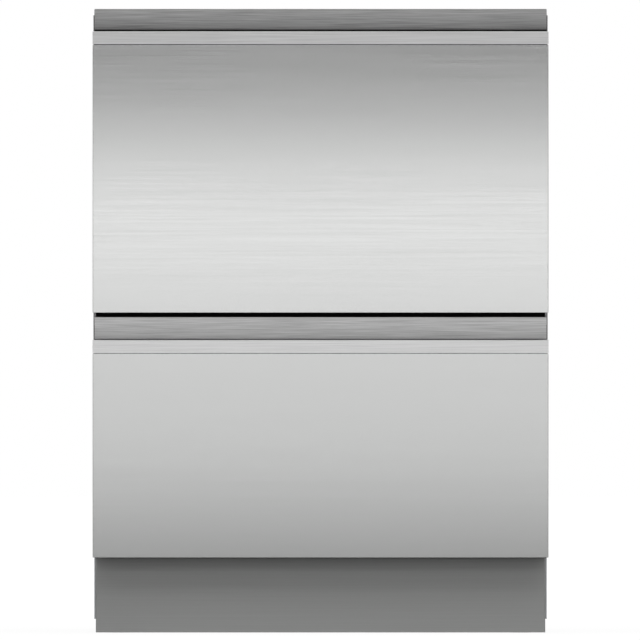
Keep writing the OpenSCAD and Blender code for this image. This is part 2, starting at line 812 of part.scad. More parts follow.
// Hollow spray arm that turns on the drive shaft.
module spray_arm(i) {
    z0 = floor_z(i) + shoulder + 0.2;
    arm_r = min(well_x, well_hy) - arm_gap;
    wall = 2;
    hub_r = 26;
    jet_r = 1.6;
    jet_step = (arm_r - hub_r - 18) / jet_n;
    color(PALE) translate([0, tub_cy, 0]) difference() {
        union() {
            translate([0, 0, z0]) linear_extrude(arm_t) round_bar(2 * arm_r, arm_w);
            upright(0, 0, z0, z0 + arm_t + 4, hub_r);
        }
        upright(0, 0, z0 - eps, z0 + arm_t + 5, shaft_r + run);
        translate([0, 0, z0 + wall]) linear_extrude(arm_t - 2 * wall) difference() {
            round_bar(2 * (arm_r - wall), arm_w - 2 * wall);
            circle(shoulder_r + 4);
        }
        for (s = SIDES, k = [1:jet_n])
            upright(s * (hub_r + 4 + k * jet_step), s * 5, z0 + wall / 2, z0 + arm_t + eps, jet_r);
    }
}

// ---------------------------------------------------------------- dispenser

ridge_d = 5;                                         // how far the cover's tracks stand proud
ridge_h = 5;
groove_y = disp_y1 - ridge_d + 1;                    // near side of the grooves in the tracks
groove_h = 2;
cover_t = 1.8;
function track_zs(i) = [disp_z(i) + 3, disp_z(i) + disp_h - 3 - ridge_h];

// Detergent cup and rinse-aid cap, with a grooved track above and below for the cover.
module dispenser(i) {
    z0 = disp_z(i);
    plate_y = disp_y1 - ridge_d;
    groove_end = groove_y + cover_t + 2 * fit;
    low = track_zs(i)[0] + ridge_h;                  // top of the lower track
    high = track_zs(i)[1];                           // underside of the upper track
    color(GREY) difference() {
        union() {
            block([-disp_w / 2, disp_y0, z0], [disp_w / 2, plate_y, z0 + disp_h]);
            for (z = track_zs(i))
                block([-disp_w / 2 + 2, plate_y - 1, z], [disp_w / 2 - 2, disp_y1, z + ridge_h]);
            along_y(cup_cx + cup_w + 12, z0 + disp_h / 2, plate_y - 1, plate_y + 0.8, 15);
        }
        block([cup_cx - cup_w / 2, disp_y0 + 2, z0 + (disp_h - cup_h) / 2],
              [cup_cx + cup_w / 2, disp_y1, z0 + (disp_h + cup_h) / 2]);
        block([-disp_w / 2, groove_y, low - groove_h], [disp_w / 2, groove_end, low + eps]);
        block([-disp_w / 2, groove_y, high - eps], [disp_w / 2, groove_end, high + groove_h]);
    }
}

// Cover of the detergent cup: its edges run sideways in the two grooves.
module dispenser_lid(i) {
    y0 = groove_y + fit;
    x0 = cup_cx - cup_w / 2 - 3;
    x1 = cup_cx + cup_w / 2 + 3;
    low = track_zs(i)[0] + ridge_h + fit;
    high = track_zs(i)[1] - fit;
    mid_z = disp_z(i) + disp_h / 2;
    color(PALE) {
        block([x0, y0, low - groove_h], [x1, y0 + cover_t, high + groove_h]);
        block([x0, y0, low], [x1, disp_y1 - 0.5, high]);
        block([x0 + 6, disp_y1 - 1, mid_z - 12], [x0 + 10, disp_y1 + 2.5, mid_z + 12]);
    }
}

// ---------------------------------------------------------------- racks

// Flat lattice of bars between two corners, with nx and ny bars on each side of the middle ones.
module lattice(lo, hi, nx, ny, pitch, bar) {
    mid = (lo + hi) / 2;
    difference() {
        translate(lo) square(hi - lo);
        translate(lo + [bar, bar]) square(hi - lo - 2 * [bar, bar]);
    }
    for (k = [-nx:nx]) translate([mid.x + k * pitch - bar / 2, lo.y]) square([bar, hi.y - lo.y]);
    for (k = [-ny:ny]) translate([lo.x, mid.y + k * pitch - bar / 2]) square([hi.x - lo.x, bar]);
}

// Plate tines stand in combs, one on each of the middle bars of the rack's floor.
tine_cols = bars_x - 3;
tine_ys = [for (k = [-bars_y:2:bars_y - 1]) rack_cy + (k + 0.5) * rack_pitch];
weld = 0.1;                                          // between the rack's welded grids

// Base rack, welded up from grids: floor, four sides, legs, combs of tines, and the hinge posts.
module base_rack(i) {
    z0 = rack_z(i);
    z1 = z0 + wire;
    side_z = z1 + weld;
    top = rack_top(i);
    leg = 8;
    end_x = rack_x - wire - weld;
    color(PALE) {
        translate([0, 0, z0]) linear_extrude(wire)
            lattice([-rack_x, rack_y0], [rack_x, rack_y1], bars_x, bars_y, rack_pitch, wire);
        for (x = [-rack_x, rack_x - leg], y = [rack_y0, rack_y1 - leg])
            block([x, y, floor_z(i)], [x + leg, y + leg, z0 - weld]);
        for (x = [-rack_x, rack_x - wire]) {
            block([x, rack_y0, top - wire], [x + wire, rack_y1, top]);
            for (k = [-bars_y:bars_y])
                translate([x, rack_cy + k * rack_pitch - wire / 2, side_z]) cube([wire, wire, top - side_z]);
        }
        for (y = [rack_y0, rack_y1 - wire]) {
            block([-end_x, y, top - wire], [end_x, y + wire, top]);
            for (k = [-bars_x:bars_x])
                translate([k * rack_pitch - wire / 2, y, side_z]) cube([wire, wire, top - side_z]);
        }
        for (k = [-tine_cols:tine_cols]) {
            block([k * rack_pitch - wire / 2, tine_ys[0] - wire, side_z],
                  [k * rack_pitch + wire / 2, tine_ys[len(tine_ys) - 1] + wire, side_z + wire]);
            for (y = tine_ys)
                upright(k * rack_pitch, y, side_z + wire / 2, z0 + tine_h, wire / 2);
        }
        for (y = post_ys) difference() {
            union() {
                block([-rack_x, y - post_t / 2, top + weld],
                      [cup_hinge_x + post_w / 2, y + post_t / 2, top + weld + wire]);
                block([cup_hinge_x - post_w / 2, y - post_t / 2, top + weld],
                      [cup_hinge_x + post_w / 2, y + post_t / 2, cup_z(i) + cup_rod_r + 4]);
            }
            along_y(cup_hinge_x, cup_z(i), y - post_t / 2 - eps, y + post_t / 2 + eps, cup_rod_r + run);
        }
    }
}

// Folding shelf for cups and glasses, hinged on a rod along the left side of the base rack.
module cup_rack(i) {
    z = cup_z(i);
    pitch = 30;
    bar = 3;
    x0 = cup_hinge_x + 2 * cup_rod_r;
    x1 = cup_hinge_x + cup_reach;
    y0 = rack_cy - cup_l / 2;
    y1 = rack_cy + cup_l / 2;
    arm_ys = [y0, rack_cy - 3, y1 - 6];
    color(GREY) {
        translate([0, 0, z - bar / 2]) linear_extrude(bar)
            lattice([x0, y0], [x1, y1], floor((x1 - x0) / 2 / pitch), floor(cup_l / 2 / pitch), pitch, bar);
        along_y(cup_hinge_x, z, y0 - 10, y1 + 10, cup_rod_r);
        for (y = arm_ys) translate([cup_hinge_x, y, z - bar / 2]) cube([x0 + 1 - cup_hinge_x, 6, bar]);
        block([x1 - bar, y0, z - bar / 2], [x1, y1, z + cup_rod_r]);
    }
}

// Basket of open cells that stands on the base rack's floor.
module cutlery_basket(i) {
    z0 = rack_z(i) + wire;
    z1 = z0 + basket_h;
    x0 = basket_x1 - basket_w;
    y0 = basket_cy - basket_l / 2;
    step = (basket_l - basket_t) / basket_cells;
    cell = step - basket_t;
    slot_n = 5;
    slot_step = (cell - 6) / slot_n;
    color(GREY) difference() {
        block([x0, y0, z0], [basket_x1, y0 + basket_l, z1]);
        for (k = [0:basket_cells - 1], y = y0 + basket_t + k * step) {
            block([x0 + basket_t, y, z0 + 3], [basket_x1 - basket_t, y + cell, z1 + eps]);
            for (j = [0:slot_n - 1])
                translate([x0 - eps, y + 6 + j * slot_step, z0 + 14])
                    cube([basket_w + 2 * eps, slot_step - 6, basket_h - 34]);
        }
    }
}

// ---------------------------------------------------------------- rails

// Inner rails, screwed to the tub's pads.
module drawer_rails(i) {
    shy = 4;                                         // how much the mounting part falls short of the web
    color(GALV) both_sides() along_depth(rail_y0, rail_y1) {
        translate([tongue_out - rail_t, rail_z(i) - tongue_h / 2]) square([rail_t, tongue_h]);
        translate([pad_x, rail_z(i) - tongue_h / 2 + shy]) square([tongue_out - pad_x, tongue_h - 2 * shy]);
    }
}

// Middle rails, which run half as far as the drawer.
module middle_rails(i) {
    color(GALV) both_sides() along_depth(rail_y0, rail_y1) rail_section(mid_in, mid_out, rail_z(i), mid_h);
}

// ---------------------------------------------------------------- lid

// A ring that follows the tub's rim, from a to b in from its outer edge.
module rim_ring(a, b, z0, z1) {
    difference() {
        slab([-rim_x + a, rim_y0 + a], [rim_x - a, rim_y1 - a], tub_r + rim_w - a, z0, z1);
        slab([-rim_x + b, rim_y0 + b], [rim_x - b, rim_y1 - b], tub_r + rim_w - b, z0 - eps, z1 + eps);
    }
}

// Lid that closes the tub: it stays in the chassis, and its pins lift it off the rim.
module lid(i) {
    z0 = rim_z(i) + lid_gap;
    z1 = z0 + lid_t;
    edge = rim_w + 8;
    root = 6;                                        // how deep a pin is set in the lid's edge
    color(PALE) difference() {
        union() {
            slab([-lid_x, lid_y0], [lid_x, lid_y1], tub_r + rim_w - 2, z0, z1);
            both_sides() for (y = pin_ys)
                translate([lid_x - root, y, pin_z(i)]) rotate([0, 90, 0])
                    cylinder(h = in_x - 1.5 - lid_x + root, r = pin_r);
        }
        slab([-lid_x + edge, lid_y0 + edge], [lid_x - edge, lid_y1 - edge], tub_r, z0 - eps, z1 - lid_wall);
        rim_ring(seal_mid - lid_seal_w / 2 - fit, seal_mid + lid_seal_w / 2 + fit, z0 - eps, z0 + seal_seat);
    }
}

module lid_seal(i) {
    color(RUBBER) rim_ring(seal_mid - lid_seal_w / 2, seal_mid + lid_seal_w / 2,
                           rim_z(i) + fit, rim_z(i) + lid_gap + seal_seat);
}

// Lifting bars: each slides along the depth and raises the lid's pins in its slanting slots.
module lid_bars(i) {
    z0 = pin_z(i) - 2 * pin_r - 1;
    reach = bar_h - 8;                               // bar past the outer pins
    slope = atan2(lid_lift, bar_travel);
    slot = norm([lid_lift, bar_travel]);
    slot_r = pin_r + run;
    color(GALV) both_sides() difference() {
        block([bar_x, pin_ys[0] - bar_travel - reach, z0], [bar_x + bar_t, pin_ys[1] + reach, z0 + bar_h]);
        for (y = pin_ys) translate([bar_x - eps, y, pin_z(i)]) rotate([-slope, 0, 0]) {
            for (d = [0, slot])
                translate([0, -d, 0]) rotate([0, 90, 0]) cylinder(h = bar_t + 2 * eps, r = slot_r);
            translate([0, -slot, -slot_r]) cube([bar_t + 2 * eps, slot, 2 * slot_r]);
        }
    }
}

// ---------------------------------------------------------------- nodes

left_side_panel();
right_side_panel();
back_panel();
top_panel();
base_pan();
centre_shelf();
toe_kick();
edge_seals();
fixing_brackets();
fixed_rails();
inlet_valve();
cord_gland();
controller_box();
chassis_screws();
foot(-1, foot_y0);  // foot_front_left
foot(1, foot_y0);  // foot_front_right
foot(-1, foot_y1);  // foot_rear_left
foot(1, foot_y1);  // foot_rear_right

front_panel(UPPER);  // upper_front_panel
grip_lip(UPPER);  // upper_grip_lip
grip_channel(UPPER);  // upper_grip_channel
front_frame(UPPER);  // upper_front_frame
control_panel(UPPER);  // upper_control_panel
button(UPPER, -1);  // upper_power_button
button(UPPER, 1);  // upper_start_button
tub(UPPER);  // upper_tub
spray_arm(UPPER);  // upper_spray_arm
filter_plate(UPPER);  // upper_filter_plate
wash_motor(UPPER);  // upper_wash_motor
dispenser(UPPER);  // upper_dispenser
dispenser_lid(UPPER);  // upper_dispenser_lid
base_rack(UPPER);  // upper_base_rack
cup_rack(UPPER);  // upper_cup_rack
cutlery_basket(UPPER);  // upper_cutlery_basket
drawer_rails(UPPER);  // upper_drawer_rails
middle_rails(UPPER);  // upper_middle_rails
lid(UPPER);  // upper_lid
lid_seal(UPPER);  // upper_lid_seal
lid_bars(UPPER);  // upper_lid_bars

front_panel(LOWER);  // lower_front_panel
grip_lip(LOWER);  // lower_grip_lip
grip_channel(LOWER);  // lower_grip_channel
front_frame(LOWER);  // lower_front_frame
control_panel(LOWER);  // lower_control_panel
button(LOWER, -1);  // lower_power_button
button(LOWER, 1);  // lower_start_button
tub(LOWER);  // lower_tub
spray_arm(LOWER);  // lower_spray_arm
filter_plate(LOWER);  // lower_filter_plate
wash_motor(LOWER);  // lower_wash_motor
dispenser(LOWER);  // lower_dispenser
dispenser_lid(LOWER);  // lower_dispenser_lid
base_rack(LOWER);  // lower_base_rack
cup_rack(LOWER);  // lower_cup_rack
cutlery_basket(LOWER);  // lower_cutlery_basket
drawer_rails(LOWER);  // lower_drawer_rails
middle_rails(LOWER);  // lower_middle_rails
lid(LOWER);  // lower_lid
lid_seal(LOWER);  // lower_lid_seal
lid_bars(LOWER);  // lower_lid_bars
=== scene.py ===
import math

import bmesh
import bpy
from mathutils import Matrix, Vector


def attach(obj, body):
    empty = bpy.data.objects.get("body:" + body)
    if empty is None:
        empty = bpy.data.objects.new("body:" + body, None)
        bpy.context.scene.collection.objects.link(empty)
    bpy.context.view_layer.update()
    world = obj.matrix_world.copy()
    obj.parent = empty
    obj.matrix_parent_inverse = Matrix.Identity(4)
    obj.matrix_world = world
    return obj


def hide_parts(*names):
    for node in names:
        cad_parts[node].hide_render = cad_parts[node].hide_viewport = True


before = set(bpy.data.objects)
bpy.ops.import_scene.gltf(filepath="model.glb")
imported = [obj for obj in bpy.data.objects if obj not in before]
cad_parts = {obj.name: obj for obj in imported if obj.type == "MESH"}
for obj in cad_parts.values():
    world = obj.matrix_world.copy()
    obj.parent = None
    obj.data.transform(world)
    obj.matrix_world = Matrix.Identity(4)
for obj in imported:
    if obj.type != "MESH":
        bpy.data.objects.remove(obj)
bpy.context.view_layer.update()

# ---------------- camera and studio
# Level view of the fronts from far away, as in the photograph: 840.6 mm of the drawer fronts' plane
# fills the square picture, and the middle of the body is half a pixel right of the picture's middle.
CAMERA_AWAY, CAMERA_X, CAMERA_Z = 40.0, -0.0007, 0.4111
PICTURE_WIDTH = 0.8406
SENSOR_WIDTH = 36
FACE_Y = -0.2865
bpy.ops.object.select_all(action="DESELECT")
bpy.ops.object.camera_add(location=(CAMERA_X, FACE_Y - CAMERA_AWAY, CAMERA_Z),
                          rotation=(math.pi / 2, 0, 0))
camera = bpy.context.object
camera.data.sensor_width = SENSOR_WIDTH
camera.data.lens = SENSOR_WIDTH * CAMERA_AWAY / PICTURE_WIDTH
camera.data.clip_start = 0.1
camera.data.clip_end = 100
bpy.context.scene.camera = camera
bpy.context.scene.view_settings.view_transform = "Standard"


def plain_material(name, colour, metallic, roughness):
    """A material with its colour and gloss, and its node tree and shader."""
    material = bpy.data.materials.new(name)
    material.use_nodes = True
    shader = material.node_tree.nodes["Principled BSDF"]
    shader.inputs["Base Color"].default_value = (*colour, 1)
    shader.inputs["Metallic"].default_value = metallic
    shader.inputs["Roughness"].default_value = roughness
    return material, material.node_tree, shader


def calculated(tree, operation, first, second):
    """One number made from two, each of them an output or a plain number."""
    node = tree.nodes.new("ShaderNodeMath")
    node.operation = operation
    for value, socket in zip((first, second), node.inputs):
        if isinstance(value, float):
            socket.default_value = value
        else:
            tree.links.new(value, socket)
    return node.outputs[0]


def spread(tree, value, low, high, start=0.3, end=0.7, curve="LINEAR"):
    """The value, from start to end, as a number from low to high. Most noise lies from 0.3 to 0.7."""
    ranged = tree.nodes.new("ShaderNodeMapRange")
    ranged.interpolation_type = curve
    for socket, number in (("From Min", start), ("From Max", end), ("To Min", low), ("To Max", high)):
        ranged.inputs[socket].default_value = number
    tree.links.new(value, ranged.inputs["Value"])
    return ranged.outputs["Result"]


def part_of(tree, place, axis):
    """One coordinate of a place or direction."""
    split = tree.nodes.new("ShaderNodeSeparateXYZ")
    tree.links.new(place, split.inputs[0])
    return split.outputs[axis]


def shows_background(tree):
    """1 for the rays that should see the white background: the camera's, and those off metal or glass."""
    rays = tree.nodes.new("ShaderNodeLightPath").outputs
    reflected = calculated(tree, "MAXIMUM", rays["Is Glossy Ray"], rays["Is Transmission Ray"])
    return calculated(tree, "MAXIMUM", rays["Is Camera Ray"], reflected)


def room_white(tree, place, start, end):
    """How white the studio is: 1 to the camera and behind the body, and ROOM_FRONT before it."""
    behind = spread(tree, part_of(tree, place, "Y"), ROOM_FRONT, 1.0, start, end, "SMOOTHSTEP")
    rays = tree.nodes.new("ShaderNodeLightPath").outputs
    return calculated(tree, "MAXIMUM", rays["Is Camera Ray"], behind)


def mixed(tree, share, first, second, output):
    """Sends two shaders, mixed by the share of the second, to the output."""
    mix = tree.nodes.new("ShaderNodeMixShader")
    tree.links.new(share, mix.inputs["Fac"])
    tree.links.new(first.outputs[0], mix.inputs[1])
    tree.links.new(second.outputs[0], mix.inputs[2])
    tree.links.new(mix.outputs[0], output.inputs["Surface"])


# Studio round the body: white behind it, a dimmer room in front, and soft even light everywhere.
ROOM_LIGHT = 0.62
ROOM_FRONT = 0.12
world = bpy.data.worlds.new("studio")
bpy.context.scene.world = world
world.use_nodes = True
tree = world.node_tree
tree.nodes.clear()
direction = tree.nodes.new("ShaderNodeTexCoord").outputs["Generated"]
room = tree.nodes.new("ShaderNodeBackground")
room.inputs["Color"].default_value = (1, 1, 1, 1)
room.inputs["Strength"].default_value = ROOM_LIGHT
white = tree.nodes.new("ShaderNodeBackground")
white.inputs["Color"].default_value = (1, 1, 1, 1)
tree.links.new(room_white(tree, direction, -0.25, 0.65), white.inputs["Strength"])
mixed(tree, shows_background(tree), room, white, tree.nodes.new("ShaderNodeOutputWorld"))

# Pale floor, white away from the body, with the body's shadow near it.
FADE_START, FADE_END, NEAR_SHARE, FLOOR_GLOW = 0.6, 1.8, 0.88, 1.04
bpy.ops.object.select_all(action="DESELECT")
bpy.ops.mesh.primitive_plane_add(size=60, location=(0, 0, -0.0005))
floor = bpy.context.object
floor.name = "studio_floor"
bpy.ops.object.transform_apply()
floor_material, tree, pale = plain_material("studio_floor", (0.86, 0.86, 0.86), 0.0, 0.9)
pale.inputs["Specular IOR Level"].default_value = 0.0
place = tree.nodes.new("ShaderNodeTexCoord").outputs["Object"]
away = tree.nodes.new("ShaderNodeVectorMath")
away.operation = "LENGTH"
tree.links.new(place, away.inputs[0])
fade = spread(tree, away.outputs["Value"], NEAR_SHARE, 1.0, FADE_START, FADE_END, "SMOOTHSTEP")
glow = tree.nodes.new("ShaderNodeEmission")
brightness = calculated(tree, "MULTIPLY", room_white(tree, place, -0.6, 0.6), FLOOR_GLOW)
tree.links.new(brightness, glow.inputs["Strength"])
glow_share = calculated(tree, "MULTIPLY", shows_background(tree), fade)
mixed(tree, glow_share, pale, glow, tree.nodes["Material Output"])
floor.data.materials.append(floor_material)


def soft_lamp(name, at, turn, size, watts):
    bpy.ops.object.light_add(type="AREA", location=at, rotation=turn)
    lamp = bpy.context.object
    lamp.name = name
    lamp.data.shape = "RECTANGLE"
    lamp.data.size, lamp.data.size_y = size
    lamp.data.energy = watts
    lamp.visible_camera = False


# Lamps: long strips in front, level with the fronts, two more that lean down at them from above, and
# one large soft light over the body.
LEVEL, LEANING = (math.pi / 2, 0, 0), (math.pi / 4, 0, 0)
STRIPS = ((0.139, 0.49), (0.251, 1.03), (0.363, 0.50), (0.476, 1.11), (0.588, 1.67), (0.812, 0.16))
for number, (height, watts) in enumerate(STRIPS, 1):
    soft_lamp("front_%d" % number, (0, -1.5, height), LEVEL, (3.0, 0.112), watts)
soft_lamp("front_high", (0, -1.5, 1.15), LEANING, (3.0, 0.25), 1.5)
soft_lamp("front_above", (0, -1.6, 1.75), LEANING, (3.0, 0.8), 7.0)
soft_lamp("above", (0.25, 1.55, 3.0), (-0.35, 0.09, 0), (3.6, 3.6), 26)


# ---------------- base pan
# One polypropylene moulding: a tray that catches leaks, with a boss over each foot and the
# drain spigot in its back wall. It stays as the frame gives it, and gets the fine sparked texture.
def noise(tree, stretch, detail, roughness=0.5):
    """A noise whose grains are 1/stretch metres along each axis."""
    place = tree.nodes.new("ShaderNodeTexCoord")
    mapping = tree.nodes.new("ShaderNodeMapping")
    mapping.inputs["Scale"].default_value = stretch
    tree.links.new(place.outputs["Object"], mapping.inputs["Vector"])
    texture = tree.nodes.new("ShaderNodeTexNoise")
    texture.inputs["Scale"].default_value = 1.0
    texture.inputs["Detail"].default_value = detail
    texture.inputs["Roughness"].default_value = roughness
    tree.links.new(mapping.outputs["Vector"], texture.inputs["Vector"])
    return texture.outputs["Fac"]


def vary_gloss(tree, shader, value, roughness, swing):
    """Lets the roughness rise and fall by the swing with the value."""
    tree.links.new(spread(tree, value, roughness - swing, roughness + swing), shader.inputs["Roughness"])


def tint(tree, shader, value, colour, amount):
    """Lightens and darkens the base colour by amount with the value."""
    blend = tree.nodes.new("ShaderNodeMix")
    blend.data_type = "RGBA"
    blend.inputs["A"].default_value = (*[c * (1 - amount) for c in colour], 1)
    blend.inputs["B"].default_value = (*[min(c * (1 + amount), 1) for c in colour], 1)
    tree.links.new(spread(tree, value, 0, 1), blend.inputs["Factor"])
    tree.links.new(blend.outputs["Result"], shader.inputs["Base Color"])


def relief(tree, shader, value, height):
    """Fine relief of that height in metres, for texture only."""
    bump = tree.nodes.new("ShaderNodeBump")
    bump.inputs["Distance"].default_value = height
    bump.inputs["Strength"].default_value = 1.0
    tree.links.new(value, bump.inputs["Height"])
    tree.links.new(bump.outputs["Normal"], shader.inputs["Normal"])


def moulded_plastic(name, colour, roughness, grain=900, depth=0.00004):
    """Moulded plastic: a fine sparked texture, and a slow drift in its gloss and colour."""
    material, tree, shader = plain_material(name, colour, 0.0, roughness)
    fine = noise(tree, (grain, grain, grain), 1.0)
    slow = noise(tree, (9, 9, 9), 3.0)
    tint(tree, shader, slow, colour, 0.05)
    vary_gloss(tree, shader, slow, roughness, 0.05)
    relief(tree, shader, fine, depth)
    return material


def dress(node, material):
    """Gives a node of the frame its material."""
    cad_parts[node].data.materials.clear()
    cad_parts[node].data.materials.append(material)


base_plastic = moulded_plastic("base_plastic", (0.30, 0.31, 0.32), 0.55)
dress("base_pan", base_plastic)


# ---------------- levelling feet
# Black nylon feet, moulded with a pad that stands on its rim, a hexagon for the spanner, and a
# threaded stem that screws up and down in the base's boss.
black_plastic = moulded_plastic("black_plastic", (0.035, 0.035, 0.036), 0.5)


def alone(piece):
    """Selects one piece, and no other."""
    bpy.ops.object.select_all(action="DESELECT")
    piece.select_set(True)
    bpy.context.view_layer.objects.active = piece


def edit(piece):
    """Opens one piece in edit mode, alone, with all its points selected."""
    alone(piece)
    bpy.ops.object.mode_set(mode="EDIT")
    bpy.ops.mesh.select_mode(type="VERT")
    bpy.ops.mesh.select_all(action="SELECT")


def drawn_line(name, points):
    """A line of edges through the points, drawn by extruding one vertex, and left open in edit mode."""
    bpy.ops.object.select_all(action="DESELECT")
    bpy.ops.mesh.primitive_plane_add(size=0.001, location=points[0])
    piece = bpy.context.object
    piece.name = name
    bpy.ops.object.transform_apply()
    edit(piece)
    bpy.ops.mesh.merge(type="CENTER")
    for here, there in zip(points, points[1:]):
        step = [b - a for a, b in zip(here, there)]
        bpy.ops.mesh.extrude_region_move(TRANSFORM_OT_translate={"value": step})
    return piece


def turned(name, profile, centre, axis="Z", steps=40):
    """A turned piece: (radius, distance) pairs spun round the Z or Y axis through the centre."""
    along = (0, 0, 1) if axis == "Z" else (0, 1, 0)
    points = [[c + r * o + d * a for c, o, a in zip(centre, (1, 0, 0), along)] for r, d in profile]
    piece = drawn_line(name, points)
    bpy.ops.mesh.select_all(action="SELECT")
    bpy.ops.mesh.spin(steps=steps, angle=math.tau, center=centre, axis=along)
    bpy.ops.mesh.select_all(action="SELECT")
    bpy.ops.mesh.remove_doubles(threshold=0.00001)
    bpy.ops.mesh.normals_make_consistent(inside=False)
    bpy.ops.object.mode_set(mode="OBJECT")
    return piece


def apply_modifier(piece, kind, **settings):
    """Adds one modifier with its settings, and applies it."""
    alone(piece)
    modifier = piece.modifiers.new(kind.lower(), kind)
    for key, value in settings.items():
        setattr(modifier, key, value)
    bpy.ops.object.modifier_apply(modifier=modifier.name)


def soften(piece, width, segments=2, angle=40):
    """Rounds every edge sharper than the angle."""
    apply_modifier(piece, "BEVEL", width=width, segments=segments, limit_method="ANGLE",
                   angle_limit=math.radians(angle), use_clamp_overlap=True)


def combine(piece, tool, operation="DIFFERENCE"):
    """Cuts the tool out of the piece, or melts it on, and takes the tool away."""
    apply_modifier(piece, "BOOLEAN", object=tool, operation=operation, solver="EXACT")
    bpy.data.objects.remove(tool)


def joined(name, pieces):
    """The pieces as one mesh."""
    bpy.ops.object.select_all(action="DESELECT")
    for piece in pieces:
        piece.select_set(True)
    bpy.context.view_layer.objects.active = pieces[0]
    bpy.ops.object.join()
    pieces[0].name = name
    return pieces[0]


def copied(piece, name, move):
    """A copy with a mesh of its own, moved."""
    alone(piece)
    bpy.ops.object.duplicate_move(TRANSFORM_OT_translate={"value": move})
    bpy.ops.object.transform_apply()
    bpy.context.object.name = name
    return bpy.context.object


def hand_over(piece, material, slot, body, *replaced):
    """Smooths the piece between its sharp edges, gives it its finish, and lets it ride on its body
    in place of the frame's nodes."""
    alone(piece)
    bpy.ops.object.shade_smooth_by_angle(angle=math.radians(36))
    apply_modifier(piece, "WEIGHTED_NORMAL", keep_sharp=True, weight=80)
    piece.data.materials.clear()
    piece.data.materials.append(material)
    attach(piece, body)
    if replaced:
        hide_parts(*replaced)


FOOT_X, FOOT_FRONT, FOOT_REAR = 0.2635, -0.2015, 0.2065
THREAD_LOW, THREAD_PITCH, THREAD_TURNS = 0.0148, 0.00155, 44
first_foot = (-FOOT_X, FOOT_FRONT, 0)
pad = turned("foot_pad", [(0, 0.0012), (0.014, 0.0012), (0.0145, 0), (0.0188, 0), (0.02, 0.0012),
                          (0.02, 0.005), (0.019, 0.0068), (0.011, 0.009), (0, 0.009)], first_foot)
spanner_hex = turned("foot_hex", [(0, 0.0085), (0.0088, 0.0085), (0.0098, 0.0094), (0.0098, 0.0136),
                                  (0.0088, 0.0145), (0, 0.0145)], first_foot, steps=6)
thread = [(0, 0.014), (0.0052, 0.014)]
for turn in range(THREAD_TURNS):
    crest = THREAD_LOW + THREAD_PITCH * turn
    thread += [(0.006, crest), (0.0053, crest + 0.0007)]
thread += [(0.0045, 0.083), (0, 0.083)]
stem = turned("foot_stem", thread, first_foot, steps=24)
combine(pad, spanner_hex, "UNION")
foot = joined("levelling_foot", [pad, stem])
for place, across, along in (("front_left", 0, 0), ("front_right", 2 * FOOT_X, 0),
                             ("rear_left", 0, FOOT_REAR - FOOT_FRONT),
                             ("rear_right", 2 * FOOT_X, FOOT_REAR - FOOT_FRONT)):
    one = copied(foot, "levelling_foot_" + place, (across, along, 0))
    hand_over(one, black_plastic, "black_plastic", "foot_" + place, "foot_" + place)
bpy.data.objects.remove(foot)


# ---------------- sheet metal of the body
# Galvanised side, back and top sheets with their spangle, folded and screwed together at the back, and
# the two brackets on the top that are screwed to the underside of a worktop.
def galvanised_steel(name, colour, roughness, spangle=150, contrast=0.035):
    """Zinc-coated steel: crystals 1/spangle metres wide under slow clouds."""
    material, tree, shader = plain_material(name, colour, 0.85, roughness)
    place = tree.nodes.new("ShaderNodeTexCoord")
    crystals = tree.nodes.new("ShaderNodeTexVoronoi")
    crystals.inputs["Scale"].default_value = spangle
    tree.links.new(place.outputs["Object"], crystals.inputs["Vector"])
    single = tree.nodes.new("ShaderNodeSeparateColor")
    tree.links.new(crystals.outputs["Color"], single.inputs["Color"])
    cloud = noise(tree, (14, 14, 14), 4.0)
    mottle = calculated(tree, "ADD", calculated(tree, "MULTIPLY", single.outputs[0], 0.55),
                        calculated(tree, "MULTIPLY", cloud, 0.45))
    tint(tree, shader, mottle, colour, contrast)
    vary_gloss(tree, shader, mottle, roughness, contrast)
    return material


galvanised = galvanised_steel("galvanised", (0.62, 0.64, 0.66), 0.42)
for node in ("left_side_panel", "right_side_panel", "back_panel", "top_panel", "fixing_brackets"):
    dress(node, galvanised)


# ---------------- rails and lid bars
# Zinc-plated steel: the fixed rails on the sides, the middle rails, the drawers' own rails under the
# tubs' pads, and the flat bars that slide in their guides to lift each lid.
rail_steel = galvanised_steel("rail_steel", (0.60, 0.62, 0.64), 0.30, 400, 0.015)
for node in ("fixed_rails", "upper_drawer_rails", "lower_drawer_rails",
             "upper_middle_rails", "lower_middle_rails", "upper_lid_bars", "lower_lid_bars"):
    dress(node, rail_steel)


# ---------------- centre shelf
# Steel sheet between the drawers, powder coated black and fixed to both sides. The rail folded up
# along its front is the dark line between the fronts.
dark_steel = moulded_plastic("dark_steel", (0.004, 0.004, 0.004), 0.85, 500, 0.00008)
dark_steel.node_tree.nodes["Principled BSDF"].inputs["Specular IOR Level"].default_value = 0.1
dress("centre_shelf", dark_steel)


# ---------------- seals
# Grey rubber channels pushed over the front edges of the sides, and black rubber seals under the lids,
# which come down on the tubs' rims.
dress("edge_seals", moulded_plastic("grey_rubber", (0.30, 0.30, 0.305), 0.7, 1200, 0.00005))
rubber = moulded_plastic("rubber", (0.022, 0.022, 0.023), 0.7, 1200, 0.00005)
for node in ("upper_lid_seal", "lower_lid_seal"):
    dress(node, rubber)


# ---------------- screws of the body
# Eight zinc-plated pan-head screws with a cross recess, four down each side. They go through the back
# sheet's edges into the folds of the side sheets.
def block(name, low, high):
    """A plain box between two corners, to be shaped further."""
    bpy.ops.object.select_all(action="DESELECT")
    bpy.ops.mesh.primitive_cube_add(size=1, location=[(a + b) / 2 for a, b in zip(low, high)],
                                    scale=[b - a for a, b in zip(low, high)])
    piece = bpy.context.object
    piece.name = name
    bpy.ops.object.transform_apply()
    return piece


def repeated(piece, count, step):
    """The piece repeated in a row, in one mesh."""
    apply_modifier(piece, "ARRAY", count=count, use_relative_offset=False, use_constant_offset=True,
                   constant_offset_displace=step)
    return piece


